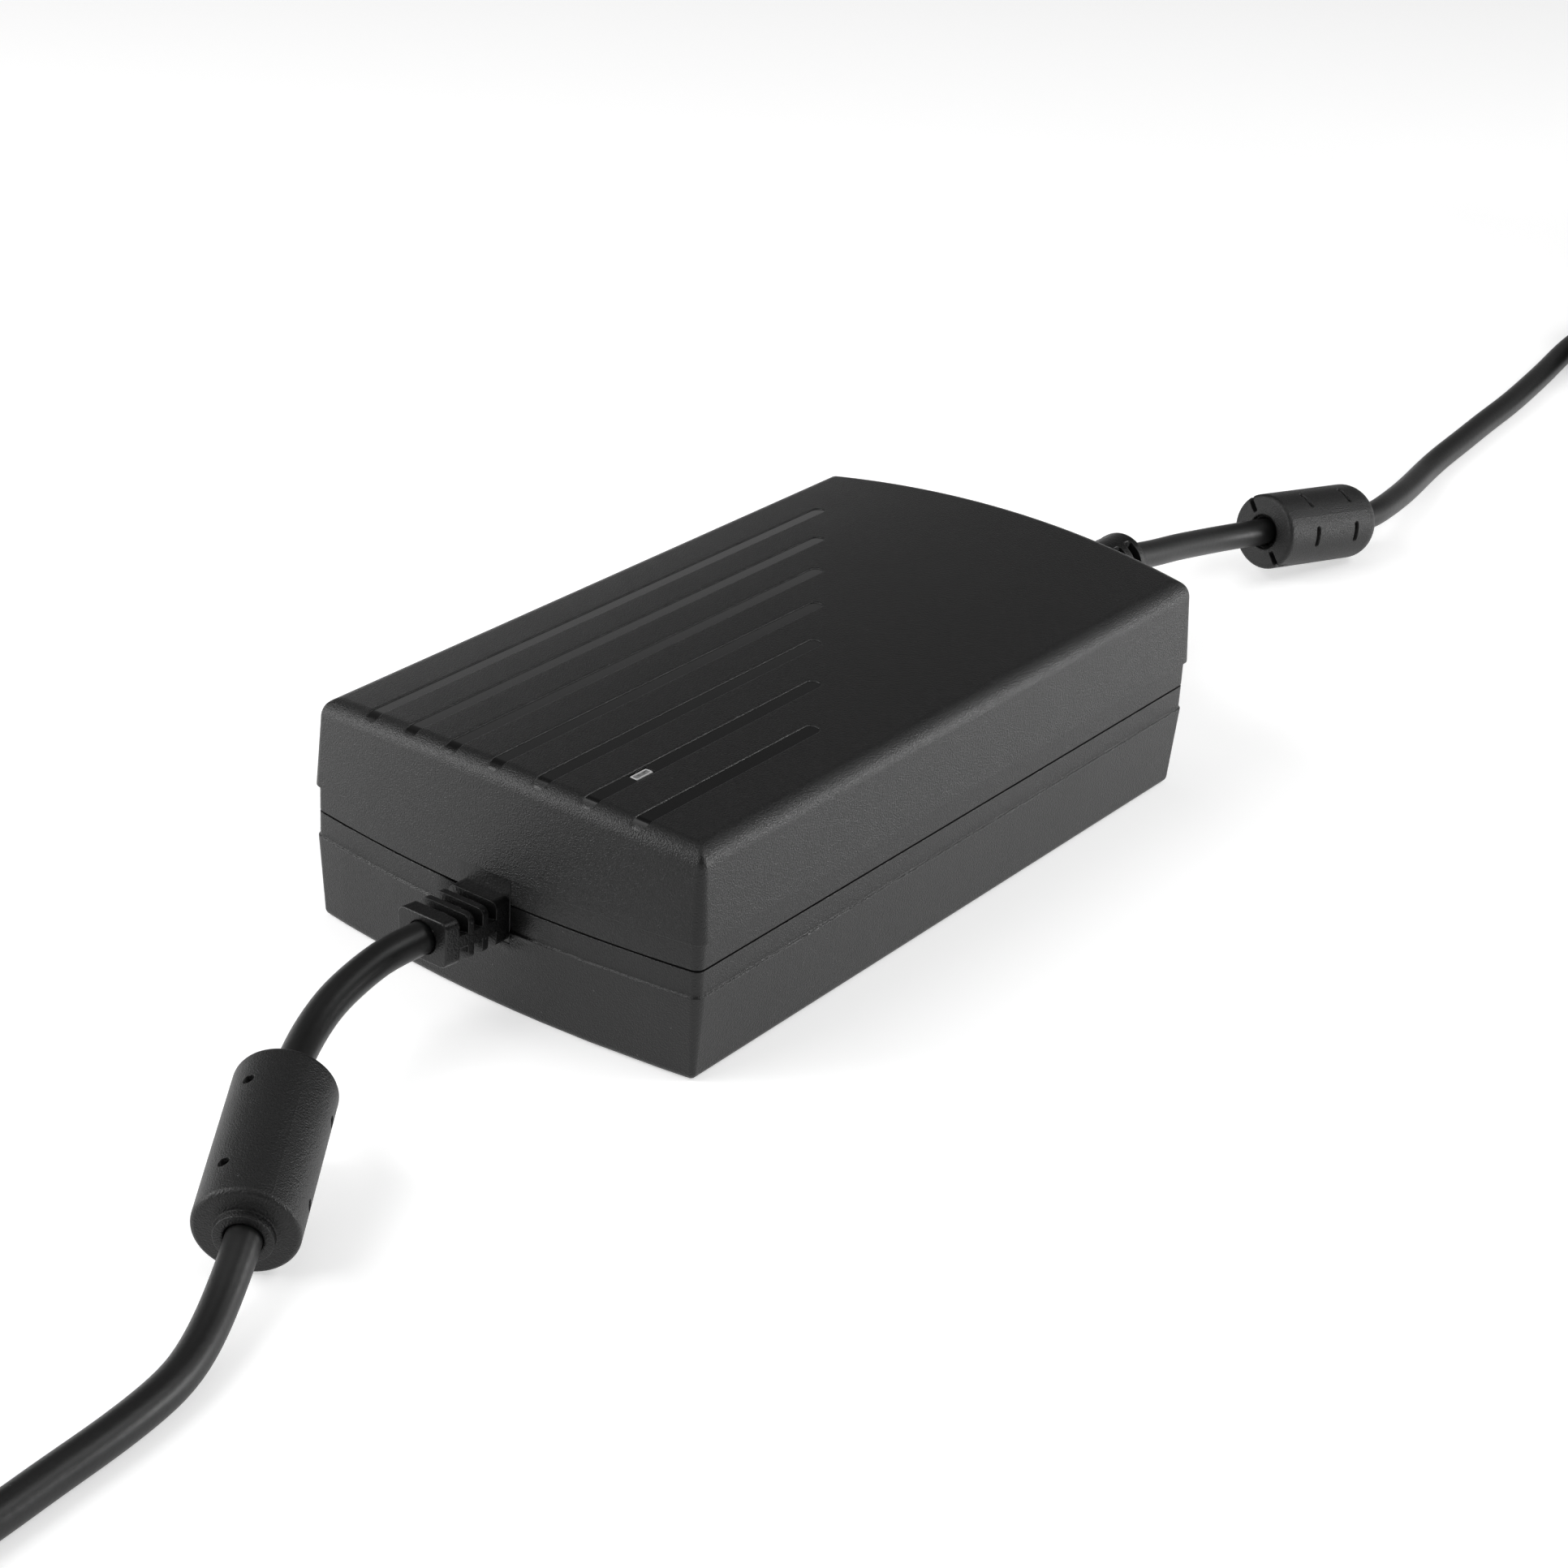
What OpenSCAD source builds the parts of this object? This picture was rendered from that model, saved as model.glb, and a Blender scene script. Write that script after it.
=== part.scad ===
// Laptop power adapter.
// A two-shell case with a crowned, grooved top holds the supply board. The output lead leaves one
// end through a clamped strain relief, and the mains lead plugs into an inlet in the other end.
// Millimetres. The origin is the middle of the underside, +X runs to the mains end and +Z is up.

/* [Case] */
// Length of the case between its end corners
case_l = 148; // [144:1:170]
// Width of the case at its widest line
case_w = 84; // [82:1:100]
// Height of the top along its long edges
edge_h = 41.25; // [40:0.05:50]
// Rise of the crowned top above its long edges
crown = 2.65; // [1:0.05:4]
// Bow of each end between its corners
end_bow = 3.55; // [2.5:0.05:5]
// Radius of the upright corners
corner_r = 2.4; // [2:0.1:5]
// Thickness of the walls
wall = 2.4; // [2:0.1:2.8]
// Draw-in of the upper walls at the top
top_draw = 0.85; // [0.5:0.05:1.5]
// Draw-in of the lower walls at the underside
foot_draw = 1.35; // [1:0.05:2]
// Radius along the top edges
top_edge_r = 3.4; // [2:0.2:4]
// Radius along the bottom edges
foot_edge_r = 1.5; // [1:0.1:2]

/* [Seam] */
// Height of the line where the covers meet
seam_z = 20.5; // [20:0.1:22.5]
// Gap that shows between the covers
seam_gap = 0.3; // [0.2:0.05:0.4]
// Height of the recessed band above the seam
band_up = 4.6; // [4.6:0.2:6]
// Height of the recessed band below the seam
band_down = 4.5; // [3:0.1:6]
// Depth of the band below the upper wall
band_depth = 0.6; // [0.4:0.1:0.9]
// Step from the lower wall in to the band
foot_step = 0.3; // [0.15:0.05:0.4]
// Height of the tongue inside the seam
tongue_h = 2; // [1.2:0.2:3]
// Thickness of the tongue
tongue_t = 1; // [0.8:0.1:1.2]

/* [Grooves] */
// Number of grooves in the top
groove_n = 7; // [3:1:8]
// Spacing of the grooves
groove_pitch = 9.48; // [7:0.02:9.7]
// Width of a groove
groove_w = 2.8; // [2.4:0.05:4]
// Depth of a groove
groove_depth = 0.2; // [0.1:0.05:0.6]
// Distance of the longest groove's tip from the middle of the case
groove_tip = 52.6; // [40:0.2:62]
// Shortening from each groove to the next
groove_step = 13.25; // [5:0.05:13.6]

/* [Indicator] */
// Length of the indicator window
lens_l = 4.25; // [3:0.05:6]
// Width of the indicator window
lens_w = 1.7; // [1.2:0.1:2.2]
// Distance of the window from the output end corners
lens_from_end = 12.8; // [11:0.2:15]
// Clearance round the light pipe
lens_clear = 0.15; // [0.1:0.05:0.3]

/* [Screws] */
// Distance of the screw pillars from the end corners and sides
pillar_in = 11; // [10:0.5:12]
// Radius of a screw pillar
pillar_r = 4; // [3.5:0.1:4.5]
// Radius of the case screws
screw_r = 1.5; // [1.25:0.05:1.75]
// Length of the case screws under the head
screw_l = 24; // [18:1:26]
// Depth of the screw heads above the underside
screw_sink = 5.8; // [4:0.2:8]

/* [Board] */
// Thickness of the circuit board
board_t = 1.6; // [1:0.2:2]
// Space under the board
board_lift = 4.6; // [3.6:0.2:5]
// Space between the board and the walls
board_clear = 1; // [0.6:0.1:1.5]
// Thickness of the insulating sheet
sheet_t = 0.4; // [0.3:0.1:0.6]

/* [Heatsinks] */
// Thickness of the heatsink plates
sink_t = 2; // [1.5:0.1:2.5]
// Height of the heatsink plates
sink_h = 24; // [22:0.5:27]
// Distance of the heatsink plates from the middle line
sink_y = 31; // [31:0.5:33]

/* [Output lead] */
// Diameter of the output lead
out_d = 5.6; // [5:0.1:6]
// Width of the strain relief
relief_w = 10.4; // [9:0.2:12]
// Height of the strain relief
relief_h = 8.2; // [7:0.2:8.6]
// Distance of the relief's middle below the seam
relief_drop = 2.6; // [2:0.1:2.8]
// Thickness of a relief rib
relief_rib = 1.4; // [1:0.05:1.8]
// Width of a relief slot
relief_slot = 1.7; // [1.2:0.05:2]
// Sideways set of the relief's free end
relief_set = 1.2; // [0:0.1:2]
// Diameter of the ferrite sleeves
sleeve_d = 16.3; // [15:0.1:16.5]
// Length of the output lead's ferrite sleeve
out_sleeve_l = 30.9; // [26:0.1:32]
// Turns in the output lead's coil
out_turns = 5; // [3:1:6]

/* [Mains lead] */
// Diameter of the mains lead
in_d = 5.6; // [5:0.1:6]
// Distance of the inlet's middle below the seam
inlet_drop = 0.75; // [0:0.05:1]
// Depth of the inlet's socket
socket_depth = 15; // [13:0.5:17]
// Clearance round the connector's nose
nose_clear = 0.35; // [0.3:0.05:0.5]
// Radius of the inlet's pins
pin_r = 1.2; // [1:0.05:1.3]
// Length of the connector's grip and boot behind the case
connector_l = 42.7; // [38:0.1:46]
// Length of the mains lead's ferrite sleeve
in_sleeve_l = 29.7; // [26:0.1:30]
// Turns in the mains lead's coil
in_turns = 4; // [3:1:5]

/* [Hidden] */
$fn = 48;

// General clearances
fit = 0.2;
slip = 0.05;
eps = 0.01;

// Case outline: each end is an arc, joined to the straight sides by rounded corners
half_w = case_w / 2;
end_r = (half_w * half_w + end_bow * end_bow) / (2 * end_bow);
end_cx = case_l / 2 + end_bow - end_r;
end_x = case_l / 2 + end_bow;
corner_steps = 4;
end_steps = 14;
edge_steps = 4;
min_corner_r = 0.6;

function outline(inset) =
    let (hw = half_w - inset, re = end_r - inset, rc = max(corner_r - inset, min_corner_r))
    let (fy = hw - rc, fx = end_cx + sqrt(pow(re - rc, 2) - fy * fy))
    let (phi = atan2(fy, fx - end_cx))
    let (right = concat(
        [for (i = [0:corner_steps]) let (a = -90 + (90 - phi) * i / corner_steps)
            [fx + rc * cos(a), -fy + rc * sin(a)]],
        [for (i = [1:end_steps - 1]) let (a = -phi + 2 * phi * i / end_steps)
            [end_cx + re * cos(a), re * sin(a)]],
        [for (i = [0:corner_steps]) let (a = phi + (90 - phi) * i / corner_steps)
            [fx + rc * cos(a), fy + rc * sin(a)]]))
    concat(right, [for (i = [len(right) - 1:-1:0]) [-right[i][0], right[i][1]]]);

// Rise of the crown at a distance y from the middle line
function rise(y) = crown * max(0, 1 - pow(y / (half_w - top_draw), 2));
function top_z(y) = edge_h + rise(y);

// Solid through a stack of outlines, each given as [inset, height, share of the crown]
module loft(rings) {
    m = 2 * corner_steps + end_steps + 1;
    n = 2 * m;
    top = (len(rings) - 1) * n;
    points = [for (r = rings) for (p = outline(r[0])) [p[0], p[1], r[1] + r[2] * rise(p[1])]];
    sides = [for (k = [0:len(rings) - 2]) for (i = [0:n - 1])
        let (a = k * n + i, b = k * n + (i + 1) % n) each [[a, a + n, b + n], [a, b + n, b]]];
    foot = [for (i = [0:m - 2]) each [[i, i + 1, n - 2 - i], [i, n - 2 - i, n - 1 - i]]];
    cap = [for (i = [0:m - 2])
        each [[top + i, top + n - 1 - i, top + n - 2 - i], [top + i, top + n - 2 - i, top + i + 1]]];
    polyhedron(points, concat(sides, foot, cap));
}

// Seam and band heights
band_top = seam_z + band_up;
band_foot = seam_z - band_down;
step_h = 0.3;
skin_t = wall - tongue_t - fit;
lower_wall_inset = band_depth - foot_step;
wall_x = end_x - band_depth;

// Board and what stands on it
board_z = wall + board_lift;
board_top = board_z + board_t;
board_inset = wall + lower_wall_inset + board_clear
    + (foot_draw - lower_wall_inset) * (band_foot - board_z) / (band_foot - foot_edge_r);
board_half_l = case_l / 2 - board_inset;
board_half_w = half_w - board_inset;
pillar_x = case_l / 2 - pillar_in;
pillar_y = half_w - pillar_in;
post_r = 2.6;
post_in_l = 26;
post_in_w = 3.4;
notch_out = 20;
sheet_in = foot_draw + wall + 1;
hold_r = 2.2;
hold_x = board_half_l - 3;
hold_y = 24;
head_r = 2.8;
head_h = 2.2;
screw_seat = screw_sink + head_h;
function corners(x, y) = [[x, y], [-x, y], [-x, -y], [x, -y]];
post_at = corners(board_half_l - post_in_l, board_half_w - post_in_w);

// Grooves, counted from the far side
function groove_y(i) = groove_pitch * ((groove_n - 1) / 2 - i);
function groove_floor(i) = top_z(groove_y(i)) - groove_depth;
lens_x = lens_from_end - case_l / 2;
lens_y = groove_y(groove_n - 2);
lens_top = groove_floor(groove_n - 2);

// Strain relief, clamped in the output end
plate_up = 4.5;
plate_down = 6.9;
plate_w = relief_w + 0.2;
flange_t = 2;
flange_out = 1.6;
flange_x = wall_x - wall - 1;
relief_z = seam_z - relief_drop;
relief_base = 3.1;
relief_end = 2.9;
relief_l = relief_base + 3 * relief_slot + 2 * relief_rib + relief_end;
relief_tip = -(wall_x + relief_l);
relief_core = 3.2;
relief_web = 2.7;
relief_edge_r = 1.3;

// Inlet and the connector that fits it: three lobes round three pins
inlet_z = seam_z - inlet_drop;
inlet_w = 22;
inlet_h = 18;
inlet_l = 25;
inlet_back = wall_x - inlet_l;
inlet_flange_x = wall_x - wall - 3.2;
lobe_r = 3.9;
lobe_at = [[-4.4, -2.2], [4.4, -2.2], [0, 2.9]];
waist = 6.2;
pin_short = 4;
contact_t = 0.5;
contact_clear = 0.15;
contact_r = pin_r + contact_clear + contact_t;
grip_w = 20.5;
grip_h = 17;
grip_gap = 0.8;
collar_l = 12;
boot_l = 14;
boot_r = 5.9;
boot_core_r = 4;
boot_ring = 2;
boot_slot = 2;
boot_tip = wall_x + connector_l;

// Ferrite sleeves: a moulded skin round a tubular core
sleeve_r = sleeve_d / 2;
sleeve_skin = 1.1;
sleeve_edge = 1;
sleeve_nose = 4.2;
sleeve_end = 2.4;
sleeve_collar_r = 4.5;
sleeve_collar_h = 2.2;
sleeve_mouth_r = 3.8;
sleeve_mouth = 1.5;
bore_clear = 0.25;

// Coils: the lead spirals in along the floor, climbs at the middle and spirals out on top
coil_gap = 0.6;
coil_mid_r = 30.8;
loop_steps = 24;
tie_t = 0.7;
tie_w = 12;
tie_clear = 0.3;
tie_slack = 1.2;
coil_lift = tie_t + tie_clear;

// Routes of the leads, from the case to their coils and from the coils to their plugs
out_meets = [-247, -42.5];
in_meets = [380, 11];
out_coil_z = out_d / 2 + coil_lift;
in_coil_z = in_d / 2 + coil_lift;
out_route = [
    [relief_tip, relief_set, relief_z], [-98, 1.8, 17.6], [-105.6, 1.2, 17], [-112.3, 0, 16.2],
    [-121.2, -3.1, 14.9], [-129.5, -7.6, 14.1], [-145, -17.8, 10.72], [-160.5, -28, 7.34],
    [-167.1, -31.5, 5.1], [-174.2, -35.1, 3.65], [-182.3, -38.3, 2.9], [-190, -39.9, 2.8],
    [-198.3, -40.8, 2.8], [-208.1, -41.4, 2.8], [-220.4, -42.2, 2.8], [-230, -42.4, 3],
    [-239, -42.5, 3.4], [out_meets[0], out_meets[1], out_coil_z]
];
in_route = [
    [boot_tip, 0, inlet_z], [125.2, 0, 18.8], [131.2, -0.2, 17.7], [140.2, -0.2, 16.2],
    [149.3, -0.4, 14.6], [159, -1.1, 13], [169.3, -3, 11.7], [187.2, -7.4, 9.52], [205.1, -11.8, 7.34],
    [213.7, -11.3, 6.6], [220.4, -10.2, 5.9], [227.6, -8.9, 5.2], [235.2, -7.3, 4.4],
    [242.8, -5.6, 3.7], [250.4, -3.9, 3.1], [263.4, -1.8, 2.8], [277.4, -0.3, 2.8], [294, 1.5, 2.8],
    [309.5, 3, 2.8], [325, 5, 2.8], [341, 7.4, 2.8], [355, 9.6, 3], [367, 10.8, 3.4],
    [in_meets[0], in_meets[1], in_coil_z]
];
out_sleeve_from = out_route[5];
out_sleeve_to = out_route[7];
in_sleeve_from = in_route[6];
in_sleeve_to = in_route[8];
plug_grip_r = 5.5;
plug_grip_l = 24;
plug_relief_l = 14;
barrel_r = 2.75;
barrel_bore_r = 1.25;
barrel_l = 9.5;
barrel_shell = 0.4;
barrel_root = 8;
barrel_root_r = barrel_r - 0.1;
out_tail_run = [[-12, 9.2], [-23, 7.4], [-34, 5.9], [-44, plug_grip_r]];
in_tail_run = [[12, 10.6], [22, 11.8], [32, 12.5]];
mains_plug_z = 12.5;
mains_plug_relief = 22;
mains_plug_l = 32;
blade_l = 18;
earth_r = 2.4;
earth_l = 20.5;
pin_root = 6;
earth_root_r = earth_r - 0.4;

// Unit vector, and frames square to a path
function unit(v) = v / norm(v);
function tangent(p, k) = unit(p[min(k + 1, len(p) - 1)] - p[max(k - 1, 0)]);

// Tube of n sides swept along the points of a path; its end faces look along a given direction
module tube(path, r, n, faces = undef) {
    points = [for (k = [0:len(path) - 1])
        let (end = k == 0 || k == len(path) - 1, t = end && faces != undef ? faces : tangent(path, k))
        let (s = unit(cross([0, 0, 1], t)), u = cross(t, s))
        for (i = [0:n - 1]) path[k] + r * (cos(360 * i / n) * s + sin(360 * i / n) * u)];
    last = (len(path) - 1) * n;
    sides = [for (k = [0:len(path) - 2]) for (i = [0:n - 1])
        let (a = k * n + i, b = k * n + (i + 1) % n) each [[a, a + n, b + n], [a, b + n, b]]];
    caps = [for (i = [1:n - 2]) each [[0, i, i + 1], [last, last + i + 1, last + i]]];
    polyhedron(points, concat(sides, caps));
}

// Coil path: clockwise from its first point, with a straight diameter at each end
function coil_pitch(d) = d + coil_gap;
function coil_out_r(d, turns) = coil_mid_r + coil_pitch(d) * turns / 4;
function climb(q) = let (s = min(max(q, 0), 1)) s * s * (3 - 2 * s);
function coil_path(d, turns, meets, z, heading) =
    let (ro = coil_out_r(d, turns), half = turns * 180, steps = turns * loop_steps)
    let (cx = meets[0] + heading * d, cy = meets[1] - heading * ro)
    concat(
        [[meets[0], meets[1], z]],
        [for (i = [0:steps]) let (t = i * 360 / loop_steps, a = heading * 90 - t)
            let (r = ro - coil_pitch(d) * (half - abs(t - half)) / 360)
            [cx + r * cos(a), cy + r * sin(a), z + coil_pitch(d) * climb((t - half + 90) / 180)]],
        [[cx + heading * d, meets[1], z + coil_pitch(d)]]);
function least_gap(p, d) = min([for (i = [0:len(p) - 1]) for (j = [i + loop_steps / 2:1:len(p) - 1])
    norm(p[i] - p[j])]) - d;

out_coil_path = coil_path(out_d, out_turns, out_meets, out_coil_z, -1);
in_coil_path = coil_path(in_d, in_turns, in_meets, in_coil_z, 1);
out_coil_end = out_coil_path[len(out_coil_path) - 1];
in_coil_end = in_coil_path[len(in_coil_path) - 1];
function tail_path(from, run) = concat([from], [for (p = run) [from[0] + p[0], from[1], p[1]]]);
out_tail_path = tail_path(out_coil_end, out_tail_run);
in_tail_path = tail_path(in_coil_end, in_tail_run);
out_plug_at = out_tail_path[len(out_tail_path) - 1];
in_plug_at = in_tail_path[len(in_tail_path) - 1];
echo(output_coil_least_gap = least_gap(out_coil_path, out_d));
echo(mains_coil_least_gap = least_gap(in_coil_path, in_d));

// Rectangle with round corners, and a slab of it
module round_rect(w, h, r) {
    square([w - 2 * r, h], center = true);
    square([w, h - 2 * r], center = true);
    for (c = corners(w / 2 - r, h / 2 - r)) translate(c) circle(r);
}
module slab(l, w, h, r) linear_extrude(h) round_rect(l, w, r);

// Turns a drawing in the Y and Z directions into a solid that runs along X
module along_x(l) rotate([90, 0, 90]) linear_extrude(l) children();

// Window in a case end, from the outside to just behind the wall
module end_window(side, w, z0, z1) {
    depth = wall + band_depth + 3;
    translate([side > 0 ? end_x - depth : -end_x - 1, -w / 2, z0]) cube([depth + 1, w, z1 - z0]);
}
module relief_window()
    end_window(-1, plate_w + 2 * fit, seam_z - plate_down - fit, seam_z + plate_up + fit);
module inlet_window()
    end_window(1, inlet_w + 2 * fit, inlet_z - inlet_h / 2 - fit, inlet_z + inlet_h / 2 + fit);

module upper_cover() {
    color([0.09, 0.09, 0.095]) difference() {
        union() {
            difference() {
                loft(concat(
                    [[band_depth, seam_z + seam_gap / 2, 0], [band_depth, band_top, 0],
                     [0, band_top + step_h, 0]],
                    [for (i = [0:edge_steps]) let (a = 90 * i / edge_steps)
                        [top_draw + top_edge_r * (1 - cos(a)), edge_h - top_edge_r * (1 - sin(a)), 1]]));
                loft([
                    [band_depth + skin_t, seam_z - 1, 0],
                    [band_depth + skin_t, seam_z + tongue_h + fit, 0],
                    [band_depth + wall, seam_z + tongue_h + fit, 0],
                    [top_draw + wall, edge_h - wall, 1]]);
            }
            for (c = corners(pillar_x, pillar_y)) translate([c[0], c[1], seam_z])
                cylinder(r = pillar_r, h = top_z(c[1]) - wall / 2 - seam_z);
            for (c = corners(hold_x, hold_y)) translate([c[0], c[1], board_top + fit])
                cylinder(r = hold_r, h = top_z(c[1]) - wall / 2 - board_top - fit);
        }
        for (i = [0:groove_n - 1]) translate([0, groove_y(i), groove_floor(i)]) {
            tip = groove_tip - i * groove_step - groove_w / 2;
            translate([tip, 0, 0]) cylinder(d = groove_w, h = crown + top_edge_r);
            translate([-end_x - 1, -groove_w / 2, 0])
                cube([tip + end_x + 1, groove_w, crown + top_edge_r]);
        }
        translate([lens_x, lens_y, lens_top - 2 * wall])
            linear_extrude(4 * wall)
                square([lens_l + 2 * lens_clear, lens_w + 2 * lens_clear], center = true);
        for (c = corners(pillar_x, pillar_y)) translate([c[0], c[1], seam_z - 1])
            cylinder(r = screw_r + slip, h = screw_seat + screw_l + 2 - seam_z);
        relief_window();
        inlet_window();
    }
}

module lower_cover() {
    color([0.1, 0.1, 0.105]) difference() {
        union() {
            difference() {
                loft(concat(
                    [for (i = [edge_steps - 1:-1:0]) let (a = 90 * i / (edge_steps - 1))
                        [foot_draw + foot_edge_r * (1 - cos(a)), foot_edge_r * (1 - sin(a)), 0]],
                    [[lower_wall_inset, band_foot - step_h, 0], [band_depth, band_foot, 0],
                     [band_depth, seam_z - seam_gap / 2, 0],
                     [band_depth + skin_t + fit, seam_z - seam_gap / 2, 0],
                     [band_depth + skin_t + fit, seam_z + tongue_h, 0]]));
                loft([
                    [foot_draw + wall, wall, 0], [band_depth + wall, band_foot, 0],
                    [band_depth + wall, seam_z + tongue_h + 1, 0]]);
            }
            for (c = corners(pillar_x, pillar_y)) translate([c[0], c[1], wall / 2])
                cylinder(r = pillar_r, h = seam_z - wall / 2);
            for (c = post_at) translate([c[0], c[1], wall / 2])
                cylinder(r = post_r, h = board_z - wall / 2);
        }
        for (c = corners(pillar_x, pillar_y)) translate([c[0], c[1], -1]) {
            cylinder(r = screw_r + fit, h = seam_z + 2);
            cylinder(r = head_r + fit, h = screw_seat + 1);
        }
        relief_window();
        inlet_window();
    }
}

module case_screws() {
    color("silver") for (c = corners(pillar_x, pillar_y)) translate([c[0], c[1], screw_sink])
    difference() {
        union() {
            cylinder(r = head_r, h = head_h);
            cylinder(r = screw_r, h = head_h + screw_l);
        }
        for (a = [0, 90]) rotate(a) cube([3, 0.7, 2], center = true);
    }
}

module indicator_lens() {
    flange = 1.3;
    pipe_foot = board_top + led_h + fit;
    color([0.9, 0.92, 0.92]) {
        translate([lens_x, lens_y, pipe_foot])
            linear_extrude(lens_top - pipe_foot) square([lens_l, lens_w], center = true);
        translate([lens_x, lens_y, lens_top + groove_depth - wall - 1 - 2 * fit])
            linear_extrude(1) square([lens_l + 2 * flange, lens_w + 2 * flange], center = true);
    }
}

module circuit_board() {
    notch = pillar_r + 2 * fit;
    color([0.16, 0.28, 0.16]) translate([0, 0, board_z]) linear_extrude(board_t) difference() {
        square([2 * board_half_l, 2 * board_half_w], center = true);
        for (c = corners(pillar_x, pillar_y)) translate(c)
            translate([c[0] > 0 ? -notch : notch - notch_out, c[1] > 0 ? -notch : notch - notch_out])
                square(notch_out);
    }
}

module insulating_sheet() {
    color([0.75, 0.72, 0.6]) translate([0, 0, wall]) linear_extrude(sheet_t) difference() {
        square([case_l - 2 * sheet_in, case_w - 2 * sheet_in], center = true);
        for (c = corners(pillar_x, pillar_y)) translate(c) circle(pillar_r + fit);
        for (c = post_at) translate(c) circle(post_r + fit);
    }
}

// Three lobes joined by a waist, drawn in the Y and Z directions
module clover(clear) {
    for (p = lobe_at) translate(p) circle(lobe_r + clear);
    translate([0, lobe_at[0][1]]) square([2 * lobe_at[1][0], waist + 2 * clear], center = true);
    translate([0, lobe_at[0][1]]) translate([-waist / 2 - clear, 0])
        square([waist + 2 * clear, lobe_at[2][1] - lobe_at[0][1]]);
}

module mains_inlet() {
    foot_w = 16;
    color([0.07, 0.07, 0.07]) difference() {
        union() {
            translate([inlet_back, 0, inlet_z]) along_x(inlet_l) round_rect(inlet_w, inlet_h, 1.5);
            translate([inlet_flange_x - flange_t, 0, inlet_z]) along_x(flange_t)
                round_rect(inlet_w + 2 * flange_out, inlet_h + 2 * flange_out, 1.5);
            translate([inlet_back + 2, -foot_w / 2, board_top]) cube([12, foot_w, inlet_z - board_top]);
        }
        translate([wall_x - socket_depth, 0, inlet_z]) along_x(socket_depth + 1) clover(nose_clear);
        for (p = lobe_at) translate([inlet_back - 1, p[0], inlet_z + p[1]])
            rotate([0, 90, 0]) cylinder(r = pin_r + slip, h = inlet_l);
    }
}

module inlet_pins() {
    tail_out = 3;
    color([0.8, 0.78, 0.7]) for (p = lobe_at) translate([inlet_back - tail_out, p[0], inlet_z + p[1]]) {
        rotate([0, 90, 0]) cylinder(r = pin_r, h = inlet_l + tail_out - pin_short);
        translate([0, 0, board_top - inlet_z - p[1]]) cylinder(r = pin_r, h = inlet_z + p[1] - board_top);
        sphere(pin_r);
    }
}

// Upright round part with a chamfered foot and a rolled top
module can(r, h) rotate_extrude() polygon([
    [0, 0], [r - 0.6, 0], [r, 0.6], [r, 2.4], [r - 0.6, 3], [r, 3.6],
    [r, h - 1], [r - 1, h], [r - 2, h], [r - 2, h - 0.4], [0, h - 0.4]]);

// Disc on two legs, facing along X
module disc(r, t, legs) {
    translate([-t / 2, 0, legs + r]) rotate([0, 90, 0]) cylinder(r = r, h = t);
    for (s = [-1, 1]) translate([0, s * r / 2, 0]) cylinder(r = 0.4, h = legs + r);
}

// Places along the board, as shares of half the case's length
function share(q) = q * case_l / 2;
module fuse() color([0.55, 0.3, 0.18]) translate([share(0.727), -20, board_top]) can(4.2, 8);
module varistor() color([0.15, 0.3, 0.5]) translate([share(0.727), 20, board_top]) disc(5.5, 4, 1.5);
module safety_capacitor() color([0.2, 0.35, 0.6])
    translate([share(-0.014), -4, board_top]) disc(4, 3, 2);
module x_capacitor() color([0.75, 0.65, 0.2])
    translate([share(0.517), -24, board_top]) slab(16, 9, 15, 0.8);
module bulk_capacitor() color([0.12, 0.12, 0.16]) translate([share(0.126), 12, board_top]) can(10, 27);
module output_capacitors()
    color([0.12, 0.2, 0.14]) for (y = [-14, 0, 14]) translate([share(-0.63), y, board_top])
        can(4.5, 20);
module control_chip() color([0.1, 0.1, 0.1]) translate([share(-0.182), 28, board_top])
    slab(5, 4, 1.6, 0.2);

// Ring core and the windings wrapped round it, standing on the board
wire_t = 1.2;
module ring_core(ri, w, h) translate([0, 0, wire_t + slip])
    rotate_extrude() translate([ri, 0]) square([w, h]);
module ring_winding(ri, w, h, start, sweep) rotate(start) rotate_extrude(angle = sweep) difference() {
    translate([ri - wire_t - slip, 0]) square([w + 2 * wire_t + 2 * slip, h + 2 * wire_t + 2 * slip]);
    translate([ri - slip, wire_t]) square([w + 2 * slip, h + 2 * slip]);
}
line_choke = [4.2, 3.8, 8];
line_choke_at = [share(0.406), 0];
output_choke = [3, 3, 6];
output_choke_at = [share(-0.336), -16];
module at_board(p) translate([p[0], p[1], board_top]) children();
module line_choke_core()
    color([0.25, 0.25, 0.27]) at_board(line_choke_at) ring_core(line_choke[0], line_choke[1], line_choke[2]);
module line_choke_windings() color([0.7, 0.38, 0.15]) at_board(line_choke_at) for (start = [25, 205])
    ring_winding(line_choke[0], line_choke[1], line_choke[2], start, 130);
module output_choke_core() color([0.75, 0.68, 0.3]) at_board(output_choke_at)
    ring_core(output_choke[0], output_choke[1], output_choke[2]);
module output_choke_winding() color([0.7, 0.38, 0.15]) at_board(output_choke_at)
    ring_winding(output_choke[0], output_choke[1], output_choke[2], 30, 300);

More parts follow.
